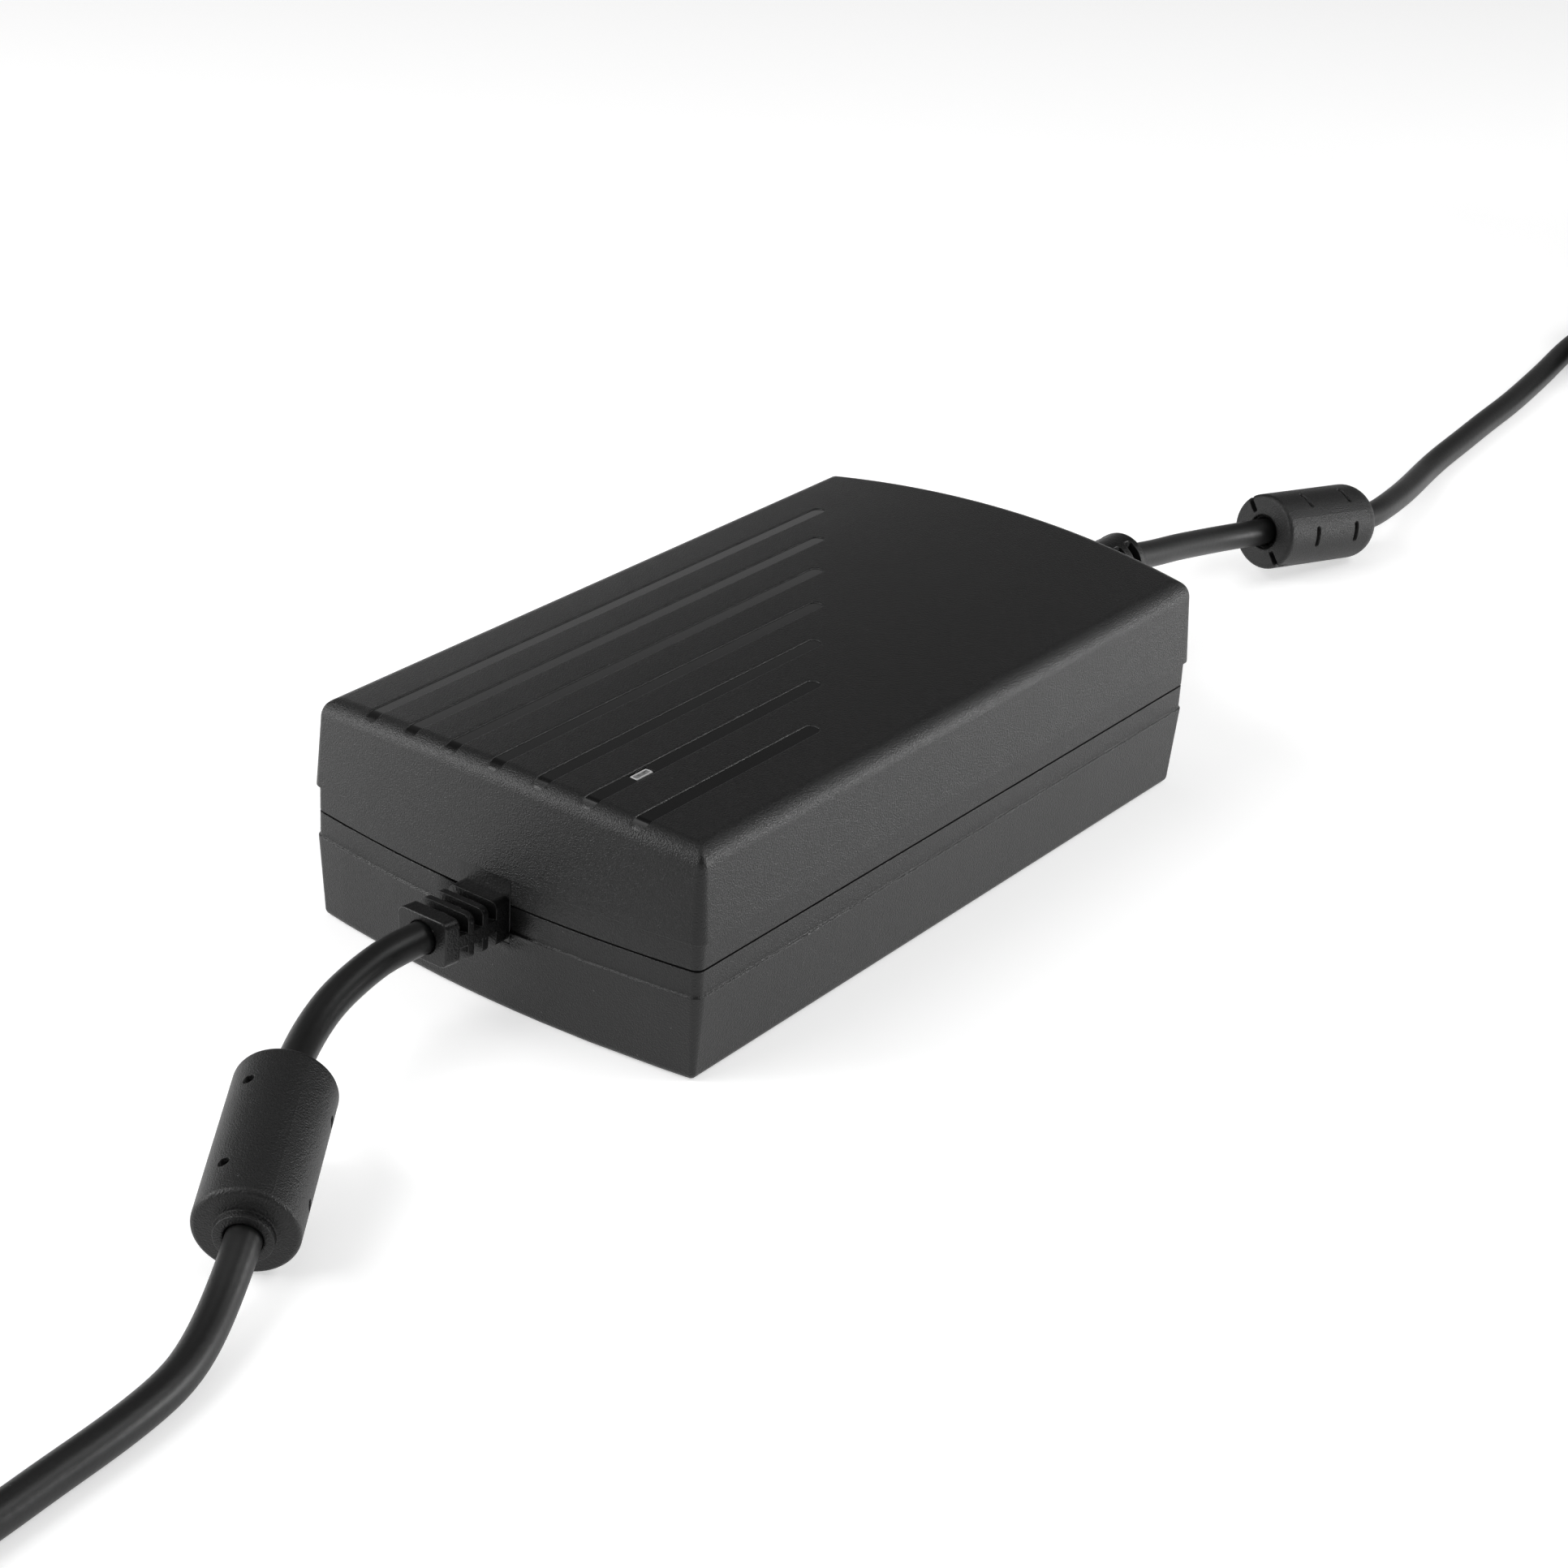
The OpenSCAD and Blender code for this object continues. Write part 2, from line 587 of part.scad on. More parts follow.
// Pair of E-shaped halves that closes round a winding: [length, width, height, back, leg, centre leg]
boost = [24, 22, 12, 4, 3.5, 7];
boost_at = [share(0.168), -20];
mains_core = [30, 28, 14, 5, 4.5, 9];
mains_core_at = [share(-0.308), 8];
winding_over = 5;
module e_core(s) {
    window_w = (s[1] - 2 * s[4] - s[5]) / 2;
    translate([0, 0, winding_over + s[2] / 2]) difference() {
        cube([s[0], s[1], s[2]], center = true);
        for (k = [-1, 1]) translate([0, k * (s[5] + window_w) / 2, 0])
            cube([s[0] - 2 * s[3], window_w, s[2] + 1], center = true);
    }
}
module e_winding(s) {
    l = s[0] - 2 * s[3] - 2 * fit;
    w = s[1] - 2 * s[4] - 2 * fit;
    translate([-l / 2, 0, winding_over + s[2] / 2]) along_x(l) difference() {
        round_rect(w, s[2] + 2 * winding_over, 2.5);
        square([s[5] + 2 * fit, s[2] + 2 * fit], center = true);
    }
}
module boost_core() color([0.2, 0.2, 0.21]) at_board(boost_at) e_core(boost);
module boost_winding() color([0.75, 0.6, 0.2]) at_board(boost_at) e_winding(boost);
module transformer_core() color([0.2, 0.2, 0.21]) at_board(mains_core_at) e_core(mains_core);
module transformer_winding() color([0.85, 0.75, 0.2]) at_board(mains_core_at) e_winding(mains_core);

module optocouplers() color([0.92, 0.92, 0.9]) for (q = [-0.42, -0.308])
    translate([share(q), 28, board_top + 0.5]) {
    slab(4.6, 6.5, 3.4, 0.2);
    for (c = corners(1.27, 3.6)) translate([c[0] - 0.3, c[1] - 0.5, -0.5]) cube([0.6, 1, 2]);
}

// Plates that carry the power devices on their inner faces
primary_x = [0, share(0.196), share(0.462)];
secondary_x = [share(-0.476), share(-0.224)];
sink_over = 8;
sink_end = 8;
device_hole_z = board_top + 16.5;
tab_t = 1.3;
bridge_t = 3.6;
device_screw_r = 1.5;
module heatsink(xs, side) {
    x0 = min(xs) - sink_end;
    l = max(xs) + sink_end - x0;
    difference() {
        translate([x0, 0, board_top]) along_x(l) polygon([
            [side * sink_y, 0], [side * (sink_y + sink_t), 0], [side * (sink_y + sink_t), sink_h],
            [side * (sink_y - sink_over), sink_h], [side * (sink_y - sink_over), sink_h - sink_t],
            [side * sink_y, sink_h - sink_t]]);
        for (x = xs) translate([x, side * (sink_y - 1), device_hole_z]) rotate([-90 * side, 0, 0])
            cylinder(r = device_screw_r + slip, h = sink_t + 2);
    }
}
module primary_heatsink() color("gainsboro") heatsink(primary_x, 1);
module secondary_heatsink() color("gainsboro") heatsink(secondary_x, -1);

// Power device: a metal tab against the plate, a moulded body and three legs down to the board
module device(x, side) translate([x, side * sink_y, board_top]) mirror([0, side > 0 ? 1 : 0, 0])
difference() {
    union() {
        translate([-5, 0, 4]) cube([10, tab_t, 15.5]);
        translate([-5, 0, 4]) cube([10, 4.4, 9]);
        for (k = [-1:1]) translate([2.54 * k - 0.4, 2, 0]) cube([0.8, 0.5, 5]);
    }
    translate([0, -1, device_hole_z - board_top]) rotate([-90, 0, 0])
        cylinder(r = device_screw_r + slip, h = 4);
}
module switching_transistors() color([0.13, 0.13, 0.13]) for (i = [0, 1]) device(primary_x[i], 1);
module output_rectifiers() color([0.13, 0.13, 0.13]) for (x = secondary_x) device(x, -1);
module bridge_rectifier() color([0.11, 0.11, 0.11]) translate([primary_x[2], sink_y, board_top])
difference() {
    union() {
        translate([-10, -bridge_t, 5]) cube([20, bridge_t, 15]);
        for (k = [-1.5:1.5]) translate([5 * k - 0.5, -2, 0]) cube([1, 0.6, 6]);
    }
    translate([0, 1, device_hole_z - board_top]) rotate([90, 0, 0])
        cylinder(r = device_screw_r + slip, h = bridge_t + 2);
}
module device_screw(x, side, t) {
    past = 1.5;
    translate([x, side * (sink_y - t), device_hole_z]) rotate([-90 * side, 0, 0]) {
        cylinder(r = device_screw_r, h = t + sink_t + past);
        translate([0, 0, -2]) cylinder(r = 2.8, h = 2);
    }
}
module device_screws() color("silver") {
    for (i = [0, 1]) device_screw(primary_x[i], 1, tab_t);
    device_screw(primary_x[2], 1, bridge_t);
    for (x = secondary_x) device_screw(x, -1, tab_t);
}

led_r = 1.5;
led_h = 5.3;
module status_led() color([0.5, 0.9, 0.5]) translate([lens_x, lens_y, board_top]) {
    cylinder(r = led_r + 0.35, h = 1);
    cylinder(r = led_r, h = led_h - led_r);
    translate([0, 0, led_h - led_r]) sphere(led_r);
}

module output_wires() {
    wire_r = 0.9;
    x0 = -(flange_x - flange_t);
    color([0.6, 0.1, 0.1]) for (s = [-1, 1]) tube([
        [x0, s * 1.4, relief_z], [x0 + 1, s * 1.4, relief_z], [x0 + 3, s * 1.5, relief_z - 0.3],
        [x0 + 6.5, s * 1.8, relief_z - 2],
        [x0 + 9.5, s * 2.2, relief_z - 5], [x0 + 11, s * 2.4, board_top + wire_r / 2]], wire_r, 8);
}

// Cross-sections of the relief, and its place sideways at a distance from the case
function relief_y(q) = relief_set * pow(q / relief_l, 2);
module relief_slice(q, l, cut) translate([-wall_x - q - l, relief_y(q + l / 2), relief_z]) along_x(l) {
    if (cut) {
        square([relief_w - 2 * relief_core + 2, relief_h - relief_core], center = true);
        square([relief_w, relief_web], center = true);
    } else round_rect(relief_w, relief_h, relief_edge_r);
}
module output_relief() {
    plate_h = plate_up + plate_down;
    plate_mid = seam_z + (plate_up - plate_down) / 2;
    cut_at = [for (i = [0:2]) relief_base + i * (relief_slot + relief_rib)];
    color([0.06, 0.06, 0.06]) {
        translate([-wall_x, 0, plate_mid]) along_x(wall) square([plate_w, plate_h], center = true);
        translate([-wall_x, 0, relief_z]) along_x(wall_x - flange_x + eps)
            square([relief_w - 1, relief_h - 1], center = true);
        translate([-flange_x, 0, plate_mid]) along_x(flange_t)
            round_rect(plate_w + 2 * flange_out, plate_h + 2 * flange_out, 1);
        relief_slice(-eps, relief_base + 2 * eps, false);
        for (q = cut_at) relief_slice(q - eps, relief_slot + 2 * eps, true);
        for (i = [0, 1]) relief_slice(cut_at[i] + relief_slot, relief_rib, false);
        relief_slice(relief_l - relief_end, relief_end, false);
    }
}

module output_lead() color([0.05, 0.05, 0.05]) tube(out_route, out_d / 2, 10, [-1, 0, 0]);
module mains_lead() color([0.05, 0.05, 0.05]) tube(in_route, in_d / 2, 10, [1, 0, 0]);

// Stands a solid of revolution on the middle of a straight stretch of lead
module on_stretch(from, to) {
    v = to - from;
    translate((from + to) / 2) rotate([0, acos(v[2] / norm(v)), atan2(v[1], v[0])]) children();
}
module sleeve(l, bore, edge_a, edge_b) difference() {
    union() {
        translate([0, edge_a - l / 2]) square([sleeve_r, l - edge_a - edge_b]);
        translate([0, -l / 2]) square([sleeve_r - edge_a, edge_a]);
        translate([sleeve_r - edge_a, edge_a - l / 2]) circle(edge_a);
        translate([0, l / 2 - edge_b]) square([sleeve_r - edge_b, edge_b]);
        translate([sleeve_r - edge_b, l / 2 - edge_b]) circle(edge_b);
        children();
    }
    translate([-sleeve_r, -l]) square([sleeve_r + bore, 2 * l]);
    translate([-1, sleeve_end - l / 2]) square([sleeve_r - sleeve_skin + 1, l - 2 * sleeve_end]);
}
module core(l, bore) difference() {
    cylinder(r = sleeve_r - sleeve_skin - slip, h = l - 2 * sleeve_end - 2 * slip, center = true);
    cylinder(r = bore + slip, h = l, center = true);
}

// Moulding marks that show the core: rows of round holes, or of slots across the sleeve
hole_angles = [90, 210, 330];
hole_at = 8.8;
slot_angles = [21, 85, 201, 265];
slot_at = 6.2;
end_slot_angles = [140, 320];
module output_ferrite_sleeve() color([0.08, 0.08, 0.08]) on_stretch(out_sleeve_from, out_sleeve_to)
    difference() {
        rotate_extrude($fn = 64) sleeve(out_sleeve_l, out_d / 2 + bore_clear, sleeve_edge, sleeve_edge)
            translate([0, out_sleeve_l / 2 - 1]) square([sleeve_collar_r, sleeve_collar_h + 1]);
        for (a = hole_angles) for (s = [-1, 1]) rotate(a) translate([0, 0, s * hole_at])
            rotate([0, 90, 0]) cylinder(r = 0.7, h = sleeve_r + 1);
    }
module output_ferrite_core() color([0.2, 0.2, 0.2]) on_stretch(out_sleeve_from, out_sleeve_to)
    core(out_sleeve_l, out_d / 2 + bore_clear);
module mains_ferrite_sleeve() color([0.09, 0.09, 0.09]) on_stretch(in_sleeve_from, in_sleeve_to)
    difference() {
        rotate_extrude($fn = 64)
            sleeve(in_sleeve_l, in_d / 2 + bore_clear, sleeve_edge, sleeve_nose);
        translate([0, 0, -in_sleeve_l / 2 - 1]) cylinder(r = sleeve_mouth_r, h = sleeve_mouth + 1);
        for (a = slot_angles) for (s = [-1, 1]) rotate(a) translate([0, -2.2, s * slot_at - 0.45])
            cube([sleeve_r + 1, 4.4, 0.9]);
        for (a = end_slot_angles) rotate(a) translate([sleeve_mouth_r + 1.2, -0.5, -in_sleeve_l / 2 - 1])
            cube([sleeve_r, 1, 2.2]);
    }
module mains_ferrite_core() color([0.2, 0.2, 0.2]) on_stretch(in_sleeve_from, in_sleeve_to)
    core(in_sleeve_l, in_d / 2 + bore_clear);

module output_coil() color([0.05, 0.05, 0.05]) tube(out_coil_path, out_d / 2, 6);
module mains_coil() color([0.05, 0.05, 0.05]) tube(in_coil_path, in_d / 2, 6);
module output_tail() color([0.05, 0.05, 0.05]) tube(out_tail_path, out_d / 2, 10, [-1, 0, 0]);
module mains_tail() color([0.05, 0.05, 0.05]) tube(in_tail_path, in_d / 2, 10, [1, 0, 0]);

// Strap round a coil's bundle, on the side that its lead turns to first
module tie(d, turns, meets, z, heading) {
    ro = coil_out_r(d, turns);
    ri = 2 * coil_mid_r - ro;
    w = ro - ri + d + 2 * tie_slack;
    h = coil_pitch(d) + d + 2 * tie_clear;
    translate([meets[0] + heading * (d + coil_mid_r), meets[1] - heading * ro, z + coil_pitch(d) / 2])
        rotate([90, 0, 0]) linear_extrude(tie_w, center = true) difference() {
            round_rect(w + 2 * tie_t, h + 2 * tie_t, 3);
            round_rect(w, h, 3 - tie_t);
        }
}
module output_tie() color([0.1, 0.1, 0.1]) tie(out_d, out_turns, out_meets, out_coil_z, -1);
module mains_tie() color([0.1, 0.1, 0.1]) tie(in_d, in_turns, in_meets, in_coil_z, 1);

// Output plug: ribbed tail, waisted grip and a hollow barrel with an insulated tip
module output_plug_grip() {
    l = plug_relief_l + plug_grip_l;
    rib = plug_relief_l / 7;
    color([0.06, 0.06, 0.06]) translate(out_plug_at) rotate([0, -90, 0]) rotate_extrude() difference() {
        union() {
            square([out_d / 2 + 0.6, plug_relief_l + 1]);
            for (i = [0:2]) translate([0, (2 * i + 1) * rib]) square([out_d / 2 + 1 + 0.3 * i, rib]);
            polygon([
                [0, plug_relief_l], [plug_grip_r - 0.8, plug_relief_l], [plug_grip_r, plug_relief_l + 0.8],
                [plug_grip_r, plug_relief_l + 5], [plug_grip_r - 0.5, plug_relief_l + 8],
                [plug_grip_r - 0.5, l - 7], [plug_grip_r, l - 4], [plug_grip_r, l - 0.8],
                [plug_grip_r - 0.8, l], [0, l]]);
        }
        translate([0, l - barrel_root]) square([barrel_root_r + slip, barrel_root + 1]);
    }
}
module output_plug_barrel() color([0.8, 0.8, 0.78]) translate(out_plug_at) rotate([0, -90, 0])
    translate([0, 0, plug_relief_l + plug_grip_l - barrel_root]) difference() {
        union() {
            cylinder(r = barrel_root_r, h = barrel_root);
            translate([0, 0, barrel_root]) cylinder(r = barrel_r, h = barrel_l);
        }
        translate([0, 0, 1]) cylinder(r = barrel_r - barrel_shell, h = barrel_root + barrel_l);
    }
module output_plug_insulator() color([0.08, 0.08, 0.08]) translate(out_plug_at) rotate([0, -90, 0])
    translate([0, 0, plug_relief_l + plug_grip_l - barrel_root + 1]) difference() {
        cylinder(r = barrel_r - barrel_shell - slip, h = barrel_root - 1 + barrel_l - 0.4);
        translate([0, 0, 2]) cylinder(r = barrel_bore_r, h = barrel_root + barrel_l);
    }

// Connector: lobed nose in the socket, a collar to grip, a taper and a slotted round boot
module mains_connector() {
    nose_l = socket_depth - 0.5;
    collar_x = wall_x + grip_gap;
    boot_x = boot_tip - boot_l;
    color([0.06, 0.06, 0.06]) difference() {
        union() {
            translate([wall_x - nose_l, 0, inlet_z]) along_x(nose_l + grip_gap + 1) clover(0);
            translate([collar_x, 0, inlet_z]) along_x(collar_l) round_rect(grip_w, grip_h, 4);
            hull() {
                translate([collar_x + collar_l - 1, 0, inlet_z]) along_x(1)
                    round_rect(grip_w, grip_h, 4, $fn = 32);
                translate([boot_x, 0, inlet_z]) rotate([0, 90, 0]) cylinder(r = boot_r, h = 1, $fn = 32);
            }
            translate([boot_x, 0, inlet_z]) rotate([0, 90, 0]) {
                cylinder(r = boot_core_r, h = boot_l);
                for (i = [1:3]) translate([0, 0, boot_l - boot_ring - (i - 1) * (boot_slot + boot_ring)])
                    cylinder(r = boot_r, h = boot_ring);
            }
        }
        for (p = lobe_at) translate([wall_x - nose_l - 1, p[0], inlet_z + p[1]])
            rotate([0, 90, 0]) cylinder(r = contact_r + slip, h = nose_l);
    }
}
module connector_contacts() {
    nose_l = socket_depth - 0.5;
    sunk = 0.8;
    color([0.8, 0.65, 0.3]) for (p = lobe_at) translate([wall_x - nose_l + sunk, p[0], inlet_z + p[1]])
        rotate([0, 90, 0]) difference() {
            cylinder(r = contact_r, h = nose_l - 1 - sunk);
            translate([0, 0, -1]) cylinder(r = contact_r - contact_t, h = nose_l);
        }
}

// Mains plug: tapered tail, a grip with pinched sides, two flat blades and a round earth pin
blade_z = mains_plug_z + 3.2;
earth_z = blade_z - 11.9;
plug_face_x = in_plug_at[0] + mains_plug_relief + mains_plug_l;
module mains_plug_body() {
    w = 27;
    h = 24.6;
    color([0.06, 0.06, 0.06]) difference() {
        union() {
            translate([in_plug_at[0], in_plug_at[1], mains_plug_z]) rotate([0, 90, 0])
                cylinder(r1 = in_d / 2 + 0.8, r2 = 6, h = mains_plug_relief + 1);
            hull() {
                translate([in_plug_at[0] + mains_plug_relief, in_plug_at[1], mains_plug_z]) along_x(2)
                    round_rect(16, 14, 5, $fn = 32);
                translate([plug_face_x - 14, in_plug_at[1], mains_plug_z]) along_x(2)
                    round_rect(w - 4, h - 3, 5, $fn = 32);
            }
            translate([plug_face_x - 14, in_plug_at[1], mains_plug_z]) along_x(14)
                round_rect(w - 4, h - 3, 5);
            translate([plug_face_x - 7, in_plug_at[1], mains_plug_z]) along_x(7) round_rect(w, h, 4);
        }
        for (s = [-1, 1])
            translate([plug_face_x - pin_root, in_plug_at[1] + s * 6.35 - 0.8, blade_z - 3.225])
                cube([pin_root + 1, 1.6, 6.45]);
        translate([plug_face_x - pin_root, in_plug_at[1], earth_z]) rotate([0, 90, 0])
            cylinder(r = earth_root_r + slip, h = pin_root + 1);
    }
}
module mains_plug_blades() color([0.8, 0.75, 0.55]) for (s = [-1, 1])
    translate([plug_face_x - pin_root, in_plug_at[1] + s * 6.35 + 0.75, blade_z]) rotate([90, 0, 0])
        linear_extrude(1.5) polygon([
            [0, -3.175], [pin_root + blade_l - 1.5, -3.175], [pin_root + blade_l, -1.7],
            [pin_root + blade_l, 1.7], [pin_root + blade_l - 1.5, 3.175], [0, 3.175]]);
module mains_plug_earth_pin() color([0.8, 0.75, 0.55])
    translate([plug_face_x - pin_root, in_plug_at[1], earth_z]) rotate([0, 90, 0]) {
        cylinder(r = earth_root_r, h = pin_root);
        translate([0, 0, pin_root]) cylinder(r = earth_r, h = earth_l - earth_r);
        translate([0, 0, pin_root + earth_l - earth_r]) sphere(earth_r);
    }

upper_cover();
lower_cover();
case_screws();
indicator_lens();
circuit_board();
insulating_sheet();
mains_inlet();
inlet_pins();
fuse();
varistor();
x_capacitor();
line_choke_core();
line_choke_windings();
bridge_rectifier();
primary_heatsink();
switching_transistors();
boost_core();
boost_winding();
bulk_capacitor();
transformer_core();
transformer_winding();
safety_capacitor();
optocouplers();
control_chip();
secondary_heatsink();
output_rectifiers();
device_screws();
output_choke_core();
output_choke_winding();
output_capacitors();
status_led();
output_wires();
output_relief();
output_lead();
output_ferrite_sleeve();
output_ferrite_core();
output_coil();
output_tie();
output_tail();
output_plug_grip();
output_plug_barrel();
output_plug_insulator();
mains_connector();
connector_contacts();
mains_lead();
mains_ferrite_sleeve();
mains_ferrite_core();
mains_coil();
mains_tie();
mains_tail();
mains_plug_body();
mains_plug_blades();
mains_plug_earth_pin();
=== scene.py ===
"""Laptop power adapter: a black moulded case with an output lead and a mains lead."""

import bmesh
import bpy
import numpy as np
from mathutils import Matrix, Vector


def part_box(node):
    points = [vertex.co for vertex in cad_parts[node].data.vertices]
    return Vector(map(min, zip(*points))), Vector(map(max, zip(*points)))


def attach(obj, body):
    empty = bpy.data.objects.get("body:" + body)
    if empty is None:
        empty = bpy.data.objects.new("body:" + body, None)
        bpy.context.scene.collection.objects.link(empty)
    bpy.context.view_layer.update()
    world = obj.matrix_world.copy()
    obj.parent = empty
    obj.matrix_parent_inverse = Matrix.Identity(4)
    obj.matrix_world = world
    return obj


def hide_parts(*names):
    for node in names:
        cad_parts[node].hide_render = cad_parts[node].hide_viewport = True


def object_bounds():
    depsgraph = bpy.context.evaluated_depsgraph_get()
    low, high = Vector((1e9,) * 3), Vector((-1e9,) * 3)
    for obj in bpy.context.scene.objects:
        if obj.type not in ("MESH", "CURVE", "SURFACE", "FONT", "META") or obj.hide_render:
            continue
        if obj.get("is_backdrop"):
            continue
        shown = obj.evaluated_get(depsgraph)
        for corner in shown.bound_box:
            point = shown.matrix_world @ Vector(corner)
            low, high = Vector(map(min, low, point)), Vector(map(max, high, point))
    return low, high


# Frame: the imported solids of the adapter, which every piece below is fitted to and rides with.
# A moulded piece takes the place of its solid; the parts on the board show as they are packed.
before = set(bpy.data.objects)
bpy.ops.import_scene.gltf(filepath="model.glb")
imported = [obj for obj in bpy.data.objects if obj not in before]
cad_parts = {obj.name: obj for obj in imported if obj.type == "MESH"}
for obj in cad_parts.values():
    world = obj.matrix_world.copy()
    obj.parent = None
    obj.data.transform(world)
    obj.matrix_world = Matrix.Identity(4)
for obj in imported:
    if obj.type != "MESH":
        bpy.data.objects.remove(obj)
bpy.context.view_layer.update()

# Camera: low three-quarter view of the output end, a little rolled. The photo is cropped, so its middle
# isn't on the lens's axis. Sizes are in millimetres here and in every mesh below, and go to metres
# when they are placed.
MM = 0.001
PHOTO_SIDE, FOCAL_PX = 1932, 3958.925
OFF_AXIS_PX = np.array([333.0, -133.0])
ORIGIN_FROM_LENS = np.array([45.5394, -30.6669, -583.4018])
SENSOR = 36
azimuth, elevation, roll = np.radians([-49.3831, 24.6877, -1.0355])
back = np.array([np.sin(azimuth) * np.cos(elevation), -np.cos(azimuth) * np.cos(elevation),
                 np.sin(elevation)])
right = np.array([np.cos(azimuth), np.sin(azimuth), 0])
level = np.stack([right, np.cross(back, right), back])
tilt = np.array([[np.cos(roll), -np.sin(roll), 0], [np.sin(roll), np.cos(roll), 0], [0, 0, 1]])
axes = tilt @ level
eye = -axes.T @ ORIGIN_FROM_LENS * MM
camera = bpy.data.objects.new("camera", bpy.data.cameras.new("camera"))
camera.data.sensor_width = SENSOR
camera.data.lens = SENSOR * FOCAL_PX / PHOTO_SIDE
camera.data.shift_x, camera.data.shift_y = OFF_AXIS_PX / PHOTO_SIDE
camera.data.clip_start, camera.data.clip_end = 0.01, 50
pose = np.eye(4)
pose[:3, :3], pose[:3, 3] = axes.T, eye
camera.matrix_world = Matrix(pose.tolist())
bpy.context.scene.collection.objects.link(camera)
bpy.context.scene.camera = camera
bpy.context.scene.view_settings.view_transform = "Standard"


# Floor, backdrop and lamps: white paper between soft boxes, four on the left and three on the right,
# from low to high. One more hangs overhead and a low one stands behind. The room above is dim, so
# that the black plastic shows soft gradients.
class Tone:
    """A value in a material: a socket whose sums, differences and products add Math nodes."""

    def __init__(self, tree, socket=None):
        self.tree, self.socket = tree, socket

    def node(self, kind, values=None, out=0, stops=None, **settings):
        """Adds any node: its settings and ramp stops first, then its sockets' values or links."""
        made = self.tree.nodes.new("ShaderNode" + kind)
        for name, setting in settings.items():
            setattr(made, name, setting)
        if stops:
            ramp = made.color_ramp.elements
            ramp[0].position, ramp[1].position = stops[0][0], stops[-1][0]
            ramp[0].color, ramp[1].color = [(s,) * 3 + (1,) for s in (stops[0][1], stops[-1][1])]
            for at, shade in stops[1:-1]:
                ramp.new(at).color = (shade,) * 3 + (1,)
        for name, value in (values or {}).items():
            if isinstance(value, Tone):
                self.tree.links.new(value.socket, made.inputs[name])
            else:
                made.inputs[name].default_value = value
        return Tone(self.tree, made.outputs[out] if len(made.outputs) else None)

    def math(self, operation, *values):
        """Adds a Math node on values or numbers."""
        return self.node("Math", dict(enumerate(values)), operation=operation)

    def __add__(self, other):
        return self.math("ADD", self, other)

    def __mul__(self, other):
        return self.math("MULTIPLY", self, other)

    def __sub__(self, other):
        return self.math("SUBTRACT", self, other)

    def __rsub__(self, other):
        return self.math("SUBTRACT", other, self)

    __radd__, __rmul__ = __add__, __mul__


def finish(name):
    """A new material with an empty tree."""
    made = bpy.data.materials.new(name)
    made.use_nodes = True
    made.node_tree.nodes.clear()
    return made, Tone(made.node_tree)


def seen(tone):
    """1 for rays from the camera, and for those that metal or glass sends on."""
    kinds = ("Is Camera Ray", "Is Glossy Ray", "Is Transmission Ray")
    path = [tone.node("LightPath", out=k) for k in kinds]
    return path[0] + path[1] + path[2]


def unit(vectors):
    """Each vector divided by its own length."""
    return vectors / np.linalg.norm(vectors, axis=-1, keepdims=True)


world = bpy.data.worlds.new("sweep")
world.use_nodes = True
world.node_tree.nodes.clear()
sky = Tone(world.node_tree)
height = sky.node("SeparateXYZ", {0: sky.node("TexCoord", out="Generated")}, out=2)
sweep = sky.node("ValToRGB", {0: height}, stops=[(0, 0.3), (0.3, 0.3), (0.46, 0.1), (0.7, 0.03)])
sky.node("OutputWorld", {"Surface": sky.node("Background", {"Color": sweep})})
bpy.context.scene.world = world

CORNERS = ((-1, -1), (1, -1), (1, 1), (-1, 1))
FLOOR_HALF, FLOOR_DROP, FLOOR_SHADE, FLOOR_GLOW = 4.0, 0.0001, 0.76, 0.5
floor_mesh = bpy.data.meshes.new("floor")
floor_mesh.from_pydata([(x * FLOOR_HALF, y * FLOOR_HALF, -FLOOR_DROP) for x, y in CORNERS],
                       [], [(0, 1, 2, 3)])
floor = bpy.data.objects.new("floor", floor_mesh)
bpy.context.scene.collection.objects.link(floor)
paper, tone = finish("white_paper")
tone.node("OutputMaterial", {"Surface": tone.node("BsdfPrincipled", {
    "Base Color": (FLOOR_SHADE,) * 3 + (1,), "Roughness": 0.9, "Specular IOR Level": 0.0,
    "Emission Color": (1, 1, 1, 1), "Emission Strength": seen(tone) * FLOOR_GLOW})})
floor_mesh.materials.append(paper)
floor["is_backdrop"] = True

# a lamp that is this nearly overhead has X as its side
OVERHEAD = 0.99
